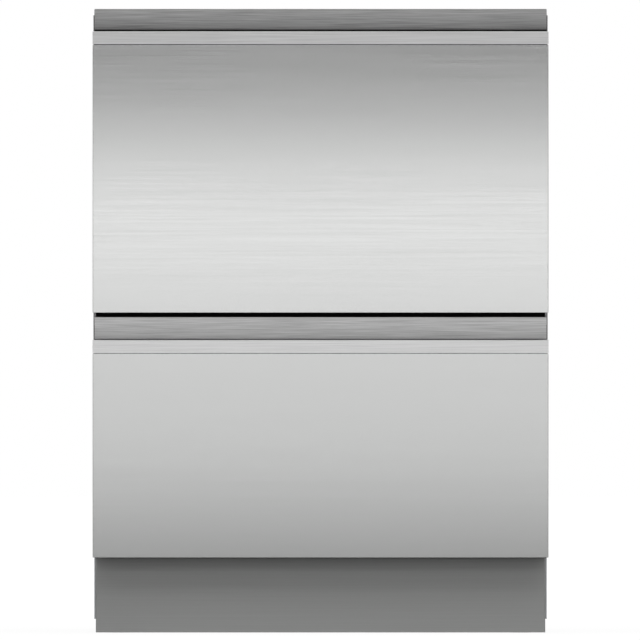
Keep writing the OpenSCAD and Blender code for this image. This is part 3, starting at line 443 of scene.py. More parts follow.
SCREW_X, SCREW_LOW, SCREW_STEP, BACK_Y = 0.2895, 0.12, 0.22, 0.2843
screw_at = (-SCREW_X, BACK_Y, SCREW_LOW)
screw = turned("screw", [(0, 0.0022), (0.0016, 0.0021), (0.003, 0.0016), (0.0038, 0.0008), (0.004, 0),
                         (0.002, 0), (0.002, -0.005), (0, -0.005)], screw_at, "Y", 24)
for width, height in ((0.0042, 0.0009), (0.0009, 0.0042)):
    slot = block("recess", (-SCREW_X - width / 2, BACK_Y + 0.0008, SCREW_LOW - height / 2),
                 (-SCREW_X + width / 2, BACK_Y + 0.003, SCREW_LOW + height / 2))
    combine(screw, slot)
repeated(screw, 4, (0, 0, SCREW_STEP))
screws = joined("back_screws", [screw, copied(screw, "right_screws", (2 * SCREW_X, 0, 0))])
hand_over(screws, rail_steel, "rail_steel", "chassis", "chassis_screws")


# ---------------- water inlet valve
# Nylon valve inside the base's back wall, with two solenoids on its body. Its threaded spigot comes out
# through the wall, and a hexagonal collar holds it there.
SERVICE_Z, BASE_BACK_Y, INLET_X = 0.0549, 0.2405, 0.15
pale_plastic = moulded_plastic("pale_plastic", (0.74, 0.75, 0.76), 0.4)
inlet_at = (INLET_X, BASE_BACK_Y, SERVICE_Z)
ridges = []
for turn in range(6):
    crest = 0.0052 + 0.0018 * turn
    ridges += [(0.0132, crest), (0.0122, crest + 0.0009)]
spigot = turned("spigot", [(0, -0.013), (0.0122, -0.013), (0.0122, 0.004)] + ridges +
                [(0.0119, 0.016), (0.0092, 0.016), (0.0092, -0.007), (0, -0.007)], inlet_at, "Y", 36)
collar = turned("collar", [(0.0112, 0), (0.0182, 0), (0.0182, 0.003), (0.0112, 0.003), (0.0112, 0)],
                inlet_at, "Y", 6)
body = block("valve_body", (INLET_X - 0.026, 0.1935, 0.0309), (INLET_X + 0.026, 0.2315, 0.0789))
soften(body, 0.003, 3)
combine(body, spigot, "UNION")
combine(body, collar, "UNION")
coil = turned("coil", [(0, 0.0225), (0.009, 0.0225), (0.010, 0.0235), (0.010, 0.0815), (0.0085, 0.083),
                       (0.0085, 0.0855), (0.0045, 0.0855), (0.0045, 0.0889), (0, 0.0889)],
              (INLET_X - 0.013, 0.2125, 0), steps=28)
coils = joined("coils", [coil, copied(coil, "second_coil", (0.026, 0, 0))])
combine(body, coils, "UNION")
hand_over(body, pale_plastic, "pale_plastic", "chassis", "inlet_valve")
body.name = "water_valve"


# ---------------- cord gland
# Black nylon strain relief, clamped on both sides of the base's back wall and ribbed where it flexes.
# The mains cord passes through its bore.
gland = turned("strain_relief", [
    (0.00405, -0.011), (0.0105, -0.011), (0.012, -0.0095), (0.012, -0.003), (0.009, -0.003), (0.009, 0),
    (0.012, 0), (0.013, 0.001), (0.013, 0.0032), (0.0122, 0.004), (0.009, 0.004), (0.0087, 0.0056),
    (0.0077, 0.0058), (0.0077, 0.0066), (0.0084, 0.0068), (0.0082, 0.0082), (0.0073, 0.0084),
    (0.0073, 0.0092), (0.008, 0.0094), (0.0076, 0.0114), (0.0068, 0.012), (0.00405, 0.012),
    (0.00405, -0.011)], (-0.21, BASE_BACK_Y, SERVICE_Z), "Y")
hand_over(gland, black_plastic, "black_plastic", "chassis", "cord_gland")


# ---------------- controller box
# Pale plastic housing for the electronics, screwed to the shelf by its two ears, below the upper tub.
# It has a recess for the plugs, a line round the lid, and vents on top.
box = block("controller_housing", (-0.095, 0.0585, 0.4102), (0.095, 0.1885, 0.4622))
combine(box, block("plug_recess", (-0.083, 0.05, 0.4222), (0.083, 0.0745, 0.4462)))
soften(box, 0.0025, 3)
for low_x, low_y, high_x in ((-0.1, 0.0, -0.0945), (0.0945, 0.0, 0.1), (-0.1, 0.188, 0.1)):
    combine(box, block("lid_line", (low_x, low_y, 0.4512), (high_x, 0.2, 0.4522)))
ears = block("ears", (-0.107, 0.0785, 0.4102), (0.107, 0.1685, 0.4132))
soften(ears, 0.001)
combine(box, ears, "UNION")
vent = block("vent", (-0.0805, 0.09, 0.4602), (-0.0775, 0.16, 0.463))
combine(box, repeated(vent, 9, (0.0195, 0, 0)))
hand_over(box, pale_plastic, "pale_plastic", "chassis", "controller_box")


# ---------------- toe kick
# Satin stainless sheet 1.2 mm thick, folded back at the top and at both ends, and fixed to the front
# of the base pan.
def brushed_steel(name, colour, roughness, grain, amount):
    """Stainless brushed along X: streaks a fraction of a millimetre high, and 1/grain metres long."""
    material, tree, shader = plain_material(name, colour, 1.0, roughness)
    shader.inputs["Anisotropic"].default_value = 0.55
    shader.inputs["Anisotropic Rotation"].default_value = 0.25
    tangent = tree.nodes.new("ShaderNodeTangent")
    tangent.direction_type = "RADIAL"
    tangent.axis = "Z"
    tree.links.new(tangent.outputs[0], shader.inputs["Tangent"])
    streaks = noise(tree, (grain, 400, 1100), 3.0, 0.6)
    tint(tree, shader, streaks, colour, amount)
    vary_gloss(tree, shader, streaks, roughness, 0.03)
    return material


def near(value, other):
    """True where two coordinates are the same, within a twentieth of a millimetre."""
    return abs(value - other) < 0.00005


def pick_faces(piece, wanted):
    """Selects the faces whose middle and normal the test takes."""
    bpy.ops.mesh.select_mode(type="FACE")
    bpy.ops.mesh.select_all(action="DESELECT")
    shape = bmesh.from_edit_mesh(piece.data)
    for face in [f for f in shape.faces if wanted(f.calc_center_median(), f.normal)]:
        face.select_set(True)
    bmesh.update_edit_mesh(piece.data)


def pick_edges(piece, wanted):
    """Selects the edges whose two ends the test takes."""
    bpy.ops.mesh.select_mode(type="EDGE")
    bpy.ops.mesh.select_all(action="DESELECT")
    shape = bmesh.from_edit_mesh(piece.data)
    for edge in [e for e in shape.edges if wanted(e.verts[0].co, e.verts[1].co)]:
        edge.select_set(True)
    bmesh.update_edit_mesh(piece.data)


def round_picked(radius, segments=4):
    """Rounds the selected edges."""
    bpy.ops.mesh.bevel(offset=radius, segments=segments, affect="EDGES")


def round_edges(piece, wanted, radius, segments):
    """Rounds the edges of a piece whose two ends the test takes."""
    edit(piece)
    pick_edges(piece, wanted)
    round_picked(radius, segments)
    bpy.ops.object.mode_set(mode="OBJECT")


def folded_tray(name, low, high, side_radius, end_radius, open_faces):
    """Sheet folded from a box: its open faces are taken off and the front's edges rounded."""
    piece = block(name, low, high)
    edit(piece)
    pick_faces(piece, open_faces)
    bpy.ops.mesh.delete(type="FACE")
    pick_edges(piece, lambda a, b: near(a.y, low[1]) and near(b.y, low[1]) and near(a.x, b.x))
    round_picked(side_radius)
    for z in (low[2], high[2]):
        pick_edges(piece, lambda a, b: near(a.z, z) and near(b.z, z) and
                   (not near(a.x, b.x) or near(abs(a.x), high[0]) and near(abs(b.x), high[0])))
        shape = bmesh.from_edit_mesh(piece.data)
        if any(e.select and len(e.link_faces) == 2 for e in shape.edges):
            round_picked(end_radius, 3)
    bpy.ops.object.mode_set(mode="OBJECT")
    return piece


def thicken(piece, wall):
    """Gives a sheet its wall, behind the face that was drawn."""
    apply_modifier(piece, "SOLIDIFY", thickness=wall, offset=-1, use_even_offset=True)


kick_steel = brushed_steel("kick_steel", (0.66, 0.665, 0.66), 0.88, 5, 0.035)
kick = folded_tray("toe_kick_sheet", (-0.2955, -0.2415, 0.0003), (0.2955, -0.2355, 0.0985), 0.0015,
                   0.0012, lambda at, normal: normal.y > 0.9 or normal.z < -0.9)
thicken(kick, 0.0012)
hand_over(kick, kick_steel, "kick_steel", "chassis", "toe_kick")


# ---------------- tubs
# Each tub is one grey polypropylene moulding: flat rim, drafted walls, rounded floor with the sump in
# its middle, and pads outside that sit on the rails. The upper one is a copy of the lower.
DRAWER_STEP = 0.405


def both_drawers(piece, name, material, slot, body, *replaced):
    """Hands over the lower drawer's piece, and its copy in the upper drawer."""
    upper = copied(piece, "upper_" + name, (0, 0, DRAWER_STEP))
    piece.name = "lower_" + name
    for drawer, one in (("lower_", piece), ("upper_", upper)):
        hand_over(one, material, slot, drawer + body, *[drawer + node for node in replaced])


def closed(piece):
    """Merges the doubled points that a cut can leave, and fills its slits."""
    edit(piece)
    bpy.ops.mesh.remove_doubles(threshold=0.000002)
    bpy.ops.mesh.select_all(action="SELECT")
    bpy.ops.mesh.fill_holes(sides=8)
    bpy.ops.object.mode_set(mode="OBJECT")


def on_opening(point):
    """True at the inner edge of the tub's rim."""
    return near(point.z, RIM_Z) and abs(point.x) < 0.27 and abs(point.y - TUB_CY) < 0.2125


grey_plastic = moulded_plastic("grey_plastic", (0.52, 0.54, 0.56), 0.35)
TUB_CY, RIM_Z, FLOOR_Z = -0.009, 0.378, 0.15
WASH_CENTRE, SHAFT_HOLE = (0, TUB_CY, 0), 0.00508
bpy.ops.object.select_all(action="DESELECT")
bpy.ops.mesh.primitive_plane_add(size=1, location=(0, TUB_CY, RIM_Z))
tub = bpy.context.object
tub.scale = (0.57, 0.455, 1)
bpy.ops.object.transform_apply()
edit(tub)
bpy.ops.mesh.bevel(offset=0.047, segments=8, affect="VERTICES")
bpy.ops.mesh.select_mode(type="FACE")
bpy.ops.mesh.select_all(action="SELECT")
bpy.ops.mesh.inset(thickness=0.0172)
bpy.ops.mesh.extrude_region_move(TRANSFORM_OT_translate={"value": (0, 0, FLOOR_Z - RIM_Z)})
bpy.ops.transform.resize(value=(0.9925, 0.9925, 1), center_override=(0, TUB_CY, FLOOR_Z))
bpy.ops.object.mode_set(mode="OBJECT")
round_edges(tub, lambda a, b: on_opening(a) and on_opening(b), 0.002, 3)
round_edges(tub, lambda a, b: near(a.z, FLOOR_Z) and near(b.z, FLOOR_Z), 0.010, 4)
thicken(tub, 0.004)
soften(tub, 0.001, 2, 50)
combine(tub, turned("sump", [(0, 0.128), (0.076, 0.128), (0.078, 0.130), (0.078, 0.1475), (0, 0.1475)],
                    WASH_CENTRE, steps=64), "UNION")
combine(tub, turned("sump_well", [(0, 0.132), (0.070, 0.132), (0.0728, 0.1332), (0.074, 0.136),
                                  (0.074, 0.1488), (0.0755, 0.1501), (0.0755, 0.155), (0, 0.155)],
                    WASH_CENTRE, steps=64))
combine(tub, turned("shaft_hole", [(0, 0.12), (SHAFT_HOLE, 0.12), (SHAFT_HOLE, 0.14), (0, 0.14)],
                    WASH_CENTRE, steps=32))
PAD_STEP = 0.1305
first_pad = TUB_CY - PAD_STEP
pad = block("rail_pad", (0.2675, first_pad - 0.022, 0.215), (0.2864, first_pad + 0.022, 0.241))
soften(pad, 0.0015)
core = block("pad_core", (0.272, first_pad - 0.0185, 0.21), (0.2834, first_pad - 0.0015, 0.2355))
combine(pad, repeated(core, 2, (0, 0.02, 0)))
repeated(pad, 3, (0, PAD_STEP, 0))
apply_modifier(pad, "MIRROR")
combine(tub, pad, "UNION")
closed(tub)
both_drawers(tub, "tub_moulding", grey_plastic, "grey_plastic", "drawer", "tub")


# ---------------- wash motors
# Under each sump: a black moulded housing with cooling ribs and the outlet branch, and the drive shaft
# that comes up through the sump into the spray arm's hub.
motor = turned("motor_housing", [
    (0, 0.104), (0.058, 0.104), (0.060, 0.1055), (0.064, 0.1055), (0.067, 0.1085), (0.067, 0.1235),
    (0.0655, 0.125), (0.060, 0.1265), (0.060, 0.128), (0.005, 0.128), (0.005, 0.1323), (0.009, 0.1323),
    (0.009, 0.155), (0.008, 0.156), (0.005, 0.156), (0.005, 0.173), (0.0042, 0.174), (0, 0.174)],
    WASH_CENTRE, steps=48)


def ring_of(piece, count, centre):
    """The piece repeated in a ring round the upright axis through the centre."""
    edit(piece)
    for _ in range(count - 1):
        bpy.ops.mesh.duplicate()
        bpy.ops.transform.rotate(value=math.tau / count, orient_axis="Z", center_override=centre)
    bpy.ops.object.mode_set(mode="OBJECT")
    return piece


rib = block("cooling_rib", (0.0655, TUB_CY - 0.001, 0.1095), (0.0698, TUB_CY + 0.001, 0.1225))
combine(motor, ring_of(rib, 24, WASH_CENTRE), "UNION")
branch = block("outlet_branch", (-0.016, TUB_CY + 0.03, 0.107), (0.016, TUB_CY + 0.096, 0.124))
soften(branch, 0.003, 3)
combine(branch, turned("outlet_bore", [(0, 0.078), (0.006, 0.078), (0.006, 0.1), (0, 0.1)],
                       (0, TUB_CY, 0.116), "Y", 24))
combine(motor, branch, "UNION")
both_drawers(motor, "motor_housing", black_plastic, "black_plastic", "drawer", "wash_motor")


# ---------------- filter plates
# Grey moulded plate that lies over each sump, with two rings of narrow slots, a ring of grooves
# outside them, and a raised hub round the shaft.
plate = turned("filter_disc", [
    (0.011, 0.15), (0.096, 0.15), (0.096, 0.1512), (0.0948, 0.1525), (0.0285, 0.1525), (0.026, 0.154),
    (0.0125, 0.154), (0.011, 0.1528), (0.011, 0.15)], WASH_CENTRE, steps=64)
SLOT_HALF, THROUGH, GROOVE = 0.0011, 0.149, 0.1517
for near_end, far_end, count, foot_z in ((0.033, 0.050, 32, THROUGH), (0.054, 0.0715, 48, THROUGH),
                                         (0.0755, 0.091, 64, GROOVE)):
    slot = block("slot", (near_end, TUB_CY - SLOT_HALF, foot_z), (far_end, TUB_CY + SLOT_HALF, 0.1535))
    combine(plate, ring_of(slot, count, WASH_CENTRE))
both_drawers(plate, "filter_disc", grey_plastic, "grey_plastic", "drawer", "filter_plate")


# ---------------- spray arms
# Two pale moulded halves welded along a flange at mid height, with the hub that turns on the shaft in
# their middle. Four raised jets stand on each side, a little off the centre line.
def round_corners(piece, along, radius, segments):
    """Rounds the edges that run along one axis."""
    across = [k for k in range(3) if k != "XYZ".index(along)]
    round_edges(piece, lambda a, b: all(near(a[k], b[k]) for k in across), radius, segments)


ARM_LOW, ARM_HIGH, ARM_END = 0.1562, 0.1682, 0.196
arm_parts = []
for inset_by, low, high, rounding in ((0.0012, ARM_LOW, ARM_HIGH, 0.0035),
                                      (0.0, 0.1617, 0.1627, 0.0002)):
    half_width = 0.019 - inset_by
    bar = block("arm_bar", (inset_by - ARM_END, TUB_CY - half_width, low),
                (ARM_END - inset_by, TUB_CY + half_width, high))
    round_corners(bar, "Z", half_width * 0.98, 8)
    soften(bar, rounding, 3, 60)
    arm_parts.append(bar)
arm, flange = arm_parts
combine(arm, flange, "UNION")
hub = turned("arm_hub", [
    (SHAFT_HOLE, ARM_LOW), (0.0245, ARM_LOW), (0.026, 0.1577), (0.026, 0.1702), (0.0242, 0.1722),
    (0.015, 0.1722), (0.014, 0.1712), (0.0095, 0.1712), (0.0085, 0.1722), (SHAFT_HOLE, 0.1722),
    (SHAFT_HOLE, ARM_LOW)], WASH_CENTRE, steps=48)
shaft_way = turned("shaft_way", [(0, 0.15), (SHAFT_HOLE, 0.15), (SHAFT_HOLE, 0.18), (0, 0.18)],
                   WASH_CENTRE, steps=48)
combine(arm, hub, "UNION")
combine(arm, shaft_way)
for side in (-1, 1):
    for jet in (1, 2, 3, 4):
        at = (side * (0.03 + 0.038 * jet), TUB_CY + side * 0.005, 0)
        combine(arm, turned("jet", [(0, 0.166), (0.0052, 0.166), (0.0052, 0.1686), (0.0036, 0.17),
                                    (0, 0.17)], at, steps=20), "UNION")
        combine(arm, turned("jet_bore", [(0, 0.1665), (0.0012, 0.1665), (0.002, 0.1705), (0, 0.1705)],
                            at, steps=16))
closed(arm)
both_drawers(arm, "arm", pale_plastic, "pale_plastic", "spray_arm", "spray_arm")


# ---------------- detergent dispensers
# Grey moulding on each tub's front wall: a cup for the powder, a turned cap for the rinse aid, and a
# grooved track above and below, in which the pale cover slides.
dispenser = block("dispenser_body", (-0.066, -0.2195, 0.268), (0.066, -0.2045, 0.352))
round_corners(dispenser, "Y", 0.007, 5)
soften(dispenser, 0.0012, 2, 50)
for low, high in ((0.271, 0.276), (0.344, 0.349)):
    track = block("track", (-0.064, -0.2060, low), (0.064, -0.1995, high))
    soften(track, 0.0008)
    combine(dispenser, track, "UNION")
CUP_FLOOR_Y = -0.2175
cup = block("cup", (-0.060, CUP_FLOOR_Y, 0.282), (-0.006, -0.19, 0.338))
round_corners(cup, "Y", 0.007, 5)
round_edges(cup, lambda a, b: near(a.y, CUP_FLOOR_Y) and near(b.y, CUP_FLOOR_Y), 0.004, 3)
combine(dispenser, cup)
for low, high in ((0.274, 0.277), (0.343, 0.346)):
    combine(dispenser, block("groove", (-0.07, -0.2035, low), (0.07, -0.2011, high)))
cap = turned("rinse_cap", [(0, 0), (0.0155, 0), (0.0155, 0.0014), (0.0149, 0.0022), (0.0128, 0.0022),
                           (0.0122, 0.0013), (0.0112, 0.0013), (0.0106, 0.0023), (0, 0.0023)],
             (0.033, -0.206, 0.310), "Y", 40)
combine(cap, block("coin_slot", (0.0252, -0.2051, 0.3091), (0.0408, -0.2, 0.3109)))
combine(dispenser, cap, "UNION")
both_drawers(dispenser, "dispenser_body", grey_plastic, "grey_plastic", "drawer", "dispenser")

cover = block("cup_cover", (-0.063, -0.2032, 0.2743), (-0.003, -0.2014, 0.3457))
soften(cover, 0.0004)
raised = block("cover_face", (-0.063, -0.2020, 0.2763), (-0.003, -0.2000, 0.3437))
soften(raised, 0.0008)
combine(cover, raised, "UNION")
tab = block("thumb_tab", (-0.057, -0.2010, 0.298), (-0.053, -0.1970, 0.322))
soften(tab, 0.0012, 3)
combine(cover, tab, "UNION")
ridge = block("grip_ridge", (-0.048, -0.2005, 0.300), (-0.0468, -0.1993, 0.320))
soften(ridge, 0.0003)
combine(cover, repeated(ridge, 4, (0.003, 0, 0)), "UNION")
both_drawers(cover, "cup_cover", pale_plastic, "pale_plastic", "dispenser_lid", "dispenser_lid")


# ---------------- base racks
# Racks of round coated wire, welded: U-shaped wires both ways, a thicker rim, tines in seven combs,
# a plastic foot at each corner, and two posts for the cup rack's rod.
def bent_wire(name, points, radius, bend=0.0, ring=False, fineness=1):
    """Round wire through the points, with that radius at each bend. A ring's ends meet."""
    path = []
    for k, point in enumerate(points):
        here = Vector(point)
        if bend and (ring or 0 < k < len(points) - 1):
            back = (Vector(points[k - 1]) - here).normalized()
            on = (Vector(points[(k + 1) % len(points)]) - here).normalized()
            reach = bend / math.tan(back.angle(on) / 2)
            for step in (0, 0.25, 0.5, 0.75, 1):
                path.append(here + back * reach * (1 - step) ** 2 + on * reach * step ** 2)
        else:
            path.append(here)
    if ring:
        path.append(path[0])
    wire = drawn_line(name, [tuple(point) for point in path])
    bpy.ops.mesh.select_all(action="SELECT")
    bpy.ops.mesh.remove_doubles(threshold=0.000001)
    bpy.ops.object.mode_set(mode="OBJECT")
    bpy.ops.object.convert(target="CURVE")
    wire.data.bevel_depth = radius
    wire.data.bevel_resolution = fineness
    wire.data.use_fill_caps = True
    bpy.ops.object.convert(target="MESH")
    edit(wire)
    bpy.ops.mesh.remove_doubles(threshold=0.000001)
    bpy.ops.mesh.normals_make_consistent(inside=False)
    bpy.ops.object.mode_set(mode="OBJECT")
    return wire


coated_wire = moulded_plastic("coated_wire", (0.62, 0.66, 0.70), 0.3, 300, 0.00003)
WIRE, PITCH, RACK_CY = 0.0019, 0.038, 0.001
RACK_X, RACK_Y, RACK_FLOOR, RACK_RIM = 0.256, 0.1885, 0.186, 0.256
ROD_X, ROD_Z = -0.251, 0.266
front, back = RACK_CY - RACK_Y, RACK_CY + RACK_Y
first_x, first_y, cross_z = -6 * PITCH, RACK_CY - 4 * PITCH, RACK_FLOOR + 0.0034
long_wire = bent_wire("long_wire", [(first_x, front, RACK_RIM), (first_x, front, RACK_FLOOR),
                                    (first_x, back, RACK_FLOOR), (first_x, back, RACK_RIM)], WIRE, 0.009)
cross_wire = bent_wire("cross_wire", [(-RACK_X, first_y, RACK_RIM), (-RACK_X, first_y, cross_z),
                                      (RACK_X, first_y, cross_z), (RACK_X, first_y, RACK_RIM)],
                       WIRE, 0.009)


def ring_wire(name, half_x, half_y, z, radius, corner):
    """A level ring of wire round the rack."""
    corners = ((-half_x, -half_y), (half_x, -half_y), (half_x, half_y), (-half_x, half_y))
    return bent_wire(name, [(x, RACK_CY + y, z) for x, y in corners], radius, corner, ring=True)


rim = ring_wire("rim", RACK_X - 0.0004, RACK_Y - 0.0004, RACK_RIM, 0.0024, 0.022)
middle = ring_wire("middle_ring", RACK_X, RACK_Y, 0.222, WIRE, 0.022)
floor_ring = ring_wire("floor_ring", RACK_X - 0.0035, RACK_Y - 0.0035, RACK_FLOOR, WIRE, 0.014)
comb_x, comb_z = -3 * PITCH, cross_z + 0.0033
comb = bent_wire("comb", [(comb_x, -0.136, comb_z), (comb_x, 0.1, comb_z)], WIRE)
tines = []
for y in (-0.132, -0.056, 0.02, 0.096):
    tine = bent_wire("tine", [(comb_x, y, comb_z), (comb_x, y, 0.236), (comb_x, y, 0.2405)], WIRE)
    tip = turned("tine_tip", [(0, 0.2385), (0.0025, 0.2385), (0.0026, 0.2405), (0.0018, 0.2419),
                              (0, 0.242)], (comb_x, y, 0), steps=10)
    tines += [tine, tip]
combs = repeated(joined("combs", [comb] + tines), 7, (PITCH, 0, 0))
rack_foot = turned("rack_foot", [(0, 0.1505), (0.0032, 0.1505), (0.0042, 0.152), (0.0042, 0.160),
                                 (0.003, 0.163), (0.0024, 0.188), (0, 0.188)],
                   (-0.2525, -0.1840, 0), steps=16)
feet = joined("rack_feet", [rack_foot] + [copied(rack_foot, "rack_foot", move) for move in
                                          ((0, 0.37, 0), (0.505, 0, 0), (0.505, 0.37, 0))])
posts = []
for y in (-0.1635, 0.1655):
    post = block("hinge_post", (-0.257, y - 0.003, 0.2515), (-0.245, y + 0.003, 0.273))
    round_edges(post, lambda a, b: near(a.x, b.x) and near(a.z, b.z) and a.z > 0.27, 0.005, 5)
    combine(post, turned("rod_hole", [(0, -0.01), (0.00308, -0.01), (0.00308, 0.01), (0, 0.01)],
                         (ROD_X, y, ROD_Z), "Y", 24))
    soften(post, 0.0006)
    posts.append(post)
rack = joined("wire_rack", [repeated(long_wire, 13, (PITCH, 0, 0)),
                            repeated(cross_wire, 9, (0, PITCH, 0)),
                            rim, middle, floor_ring, combs, feet, *posts])
both_drawers(rack, "wire_rack", coated_wire, "coated_wire", "drawer", "base_rack")


# ---------------- cup racks
# Folding shelf of the same coated wire, welded: a rod that turns in the base rack's posts, a frame,
# eleven bars across it, two along it, and a raised lip at its edge.
SHELF_END = -0.1546
rod = bent_wire("rod", [(ROD_X, -0.1695, ROD_Z), (ROD_X, 0.1715, ROD_Z)], 0.003, fineness=3)
frame_wire = bent_wire("frame", [(-0.2436, -0.158, ROD_Z), (SHELF_END, -0.158, ROD_Z),
                                 (SHELF_END, 0.160, ROD_Z), (-0.2436, 0.160, ROD_Z)], 0.0015, 0.010,
                       ring=True)
shelf_bar = bent_wire("shelf_bar", [(ROD_X, -0.149, ROD_Z), (SHELF_END, -0.149, ROD_Z)], 0.0013)
length_bar = bent_wire("length_bar", [(-0.2135, -0.158, ROD_Z), (-0.2135, 0.160, ROD_Z)], 0.0013)
lip = bent_wire("lip", [(SHELF_END, -0.150, ROD_Z), (SHELF_END, -0.150, 0.2678),
                        (SHELF_END, 0.152, 0.2678), (SHELF_END, 0.152, ROD_Z)], 0.0012, 0.001)
shelf = joined("cup_shelf", [rod, frame_wire, repeated(shelf_bar, 11, (0, 0.03, 0)),
                             repeated(length_bar, 2, (0.03, 0, 0)), lip])
both_drawers(shelf, "cup_shelf", coated_wire, "coated_wire", "cup_rack", "cup_rack")


# ---------------- cutlery baskets
# Grey moulded basket of three cells, with rows of openings through its walls and floor. It stands on
# the base rack's wires, at the right.
CELL_STEP, ROW_STEP, ACROSS_STEP, UP_STEP = (0, 0.07, 0), (0, 0.0127, 0), (0.014, 0, 0), (0, 0, 0.0215)
basket = block("basket", (0.186, -0.135, 0.188), (0.252, 0.077, 0.304))
round_corners(basket, "Z", 0.006, 5)
cell = block("cell", (0.188, -0.133, 0.191), (0.250, -0.065, 0.31))
round_corners(cell, "Z", 0.004, 4)
combine(basket, repeated(cell, 3, CELL_STEP))
soften(basket, 0.0006, 2, 50)
side_slot = repeated(block("side_slot", (0.18, -0.1285, 0.204), (0.26, -0.1195, 0.220)), 4, UP_STEP)
combine(basket, repeated(repeated(side_slot, 5, ROW_STEP), 3, CELL_STEP))
end_slot = repeated(block("end_slot", (0.1935, -0.14, 0.204), (0.2025, 0.08, 0.220)), 4, UP_STEP)
combine(basket, repeated(end_slot, 4, ACROSS_STEP))
floor_slot = block("floor_slot", (0.1935, -0.1285, 0.18), (0.2025, -0.1225, 0.20))
floor_slot = repeated(repeated(floor_slot, 4, ACROSS_STEP), 5, ROW_STEP)
combine(basket, repeated(floor_slot, 3, CELL_STEP))
both_drawers(basket, "basket", grey_plastic, "grey_plastic", "drawer", "cutlery_basket")


# ---------------- lids and front frames
# Pale moulded lids that stay in the body, and the ribbed black mouldings behind the drawers' skins.
# Both stay as the frame gives them.
for drawer in ("lower", "upper"):
    dress(drawer + "_lid", pale_plastic)
    dress(drawer + "_front_frame", black_plastic)


# ---------------- control panels
# Black moulding along the top of each drawer front, seen once the drawer is open: a recessed glass
# window with five lamps in it, and a hole for a button near each end.
black_gloss = moulded_plastic("black_gloss", (0.015, 0.015, 0.016), 0.12, 60, 0.00001)
BUTTON_X, BUTTON_Y = 0.185, -0.24485
strip = block("control_strip", (-0.297, -0.2522, 0.405), (0.297, -0.2365, 0.4147))
combine(strip, block("ledge", (-0.297, -0.2582, 0.405), (0.297, -0.2500, 0.4127)), "UNION")
soften(strip, 0.0006, 3)
window = block("window", (-0.120, -0.2490, 0.4135), (0.120, -0.2395, 0.42))
round_corners(window, "Z", 0.003, 5)
combine(strip, window)
hole = turned("button_hole", [(0, 0.40), (0.00458, 0.40), (0.00458, 0.4140), (0.0053, 0.416),
                              (0, 0.416)], (-BUTTON_X, BUTTON_Y, 0), steps=32)
combine(strip, joined("button_holes", [hole, copied(hole, "right_hole", (2 * BUTTON_X, 0, 0))]))
both_drawers(strip, "control_strip", black_plastic, "black_plastic", "drawer", "control_panel")

glass = block("display_glass", (-0.1197, -0.2487, 0.4134), (0.1197, -0.2398, 0.4142))
round_corners(glass, "Z", 0.0027, 5)
soften(glass, 0.0002)
both_drawers(glass, "display_glass", black_gloss, "black_gloss", "drawer")
lens = turned("indicator", [(0, 0.4138), (0.0011, 0.4138), (0.0011, 0.4143), (0.0008, 0.4145),
                            (0, 0.41455)], (-0.036, -0.24425, 0), steps=16)
both_drawers(repeated(lens, 5, (0.018, 0, 0)), "indicators", pale_plastic, "pale_plastic", "drawer")


# ---------------- buttons
# Pale moulded caps, domed, with a collar that keeps each in its hole. The plain signs for power and
# start stand out on top in black.
cap_profile = [(0, 0.4032), (0.0049, 0.4032), (0.0052, 0.4035), (0.0052, 0.4047), (0.0045, 0.4047),
               (0.0045, 0.4135), (0.0043, 0.4141), (0.0038, 0.4144), (0.0028, 0.41458),
               (0.0014, 0.41467), (0, 0.4147)]
for sign, side in (("power", -1), ("start", 1)):
    cap = turned("button_cap", cap_profile, (side * BUTTON_X, BUTTON_Y, 0), steps=32)
    both_drawers(cap, sign + "_cap", pale_plastic, "pale_plastic", sign + "_button", sign + "_button")
SIGN_Z, SIGN_LINE, RING_R = 0.41462, 0.00022, 0.0019
arc = []
for degrees in range(40, 321, 20):
    turn = math.radians(degrees)
    arc.append((-BUTTON_X + RING_R * math.sin(turn), BUTTON_Y + RING_R * math.cos(turn), SIGN_Z))
ring = bent_wire("ring", arc, SIGN_LINE)
bar = bent_wire("bar", [(-BUTTON_X, BUTTON_Y + 0.0004, SIGN_Z), (-BUTTON_X, BUTTON_Y + 0.0023, SIGN_Z)],
                SIGN_LINE)
power_sign = joined("power_sign", [ring, bar])
both_drawers(power_sign, "power_sign", black_plastic, "black_plastic", "power_button")
triangle = bent_wire("start_sign", [(BUTTON_X - 0.0012, BUTTON_Y - 0.0018, SIGN_Z),
                                    (BUTTON_X + 0.0021, BUTTON_Y, SIGN_Z),
                                    (BUTTON_X - 0.0012, BUTTON_Y + 0.0018, SIGN_Z)],
                     SIGN_LINE, 0.0002, ring=True)
both_drawers(triangle, "start_sign", black_plastic, "black_plastic", "start_button")


# ---------------- grip channels
# Brushed stainless sheet 2 mm thick behind each lip: front wall, trough for the fingers, the strip that
# shows above the lip, and the flange on top. Painted shade: the sheet is painted near black in the
# trough, and the strip is painted darker towards the lip, where the lip shades it; the upper strip is
# painted darker than the lower, though both are the same steel. The trough's ends stop short, between the
# front frame's cheeks.
def folded_strip(name, outline, ends, folds):
    """Sheet bent along its length: (y, z) points of its seen side, and the radius of each bend there."""
    strip = drawn_line(name, [(ends[0], y, z) for y, z in outline])
    for here, there in zip(ends, ends[1:]):
        pick_edges(strip, lambda a, b: near(a.x, here) and near(b.x, here))
        bpy.ops.mesh.extrude_region_move(TRANSFORM_OT_translate={"value": (there - here, 0, 0)})
    for (y, z), radius in zip(outline[1:-1], folds):
        pick_edges(strip, lambda a, b: near(a.y, y) and near(a.z, z) and near(b.y, y) and near(b.z, z))
        round_picked(radius, 3 if radius < 0.002 else 6)
    bpy.ops.mesh.select_all(action="SELECT")
    bpy.ops.mesh.normals_make_consistent(inside=False)
    shape = bmesh.from_edit_mesh(strip.data)
    largest = max(shape.faces, key=lambda face: face.calc_area())
    if largest.normal.y > 0:
        bpy.ops.mesh.flip_normals()
    bpy.ops.object.mode_set(mode="OBJECT")
    return strip


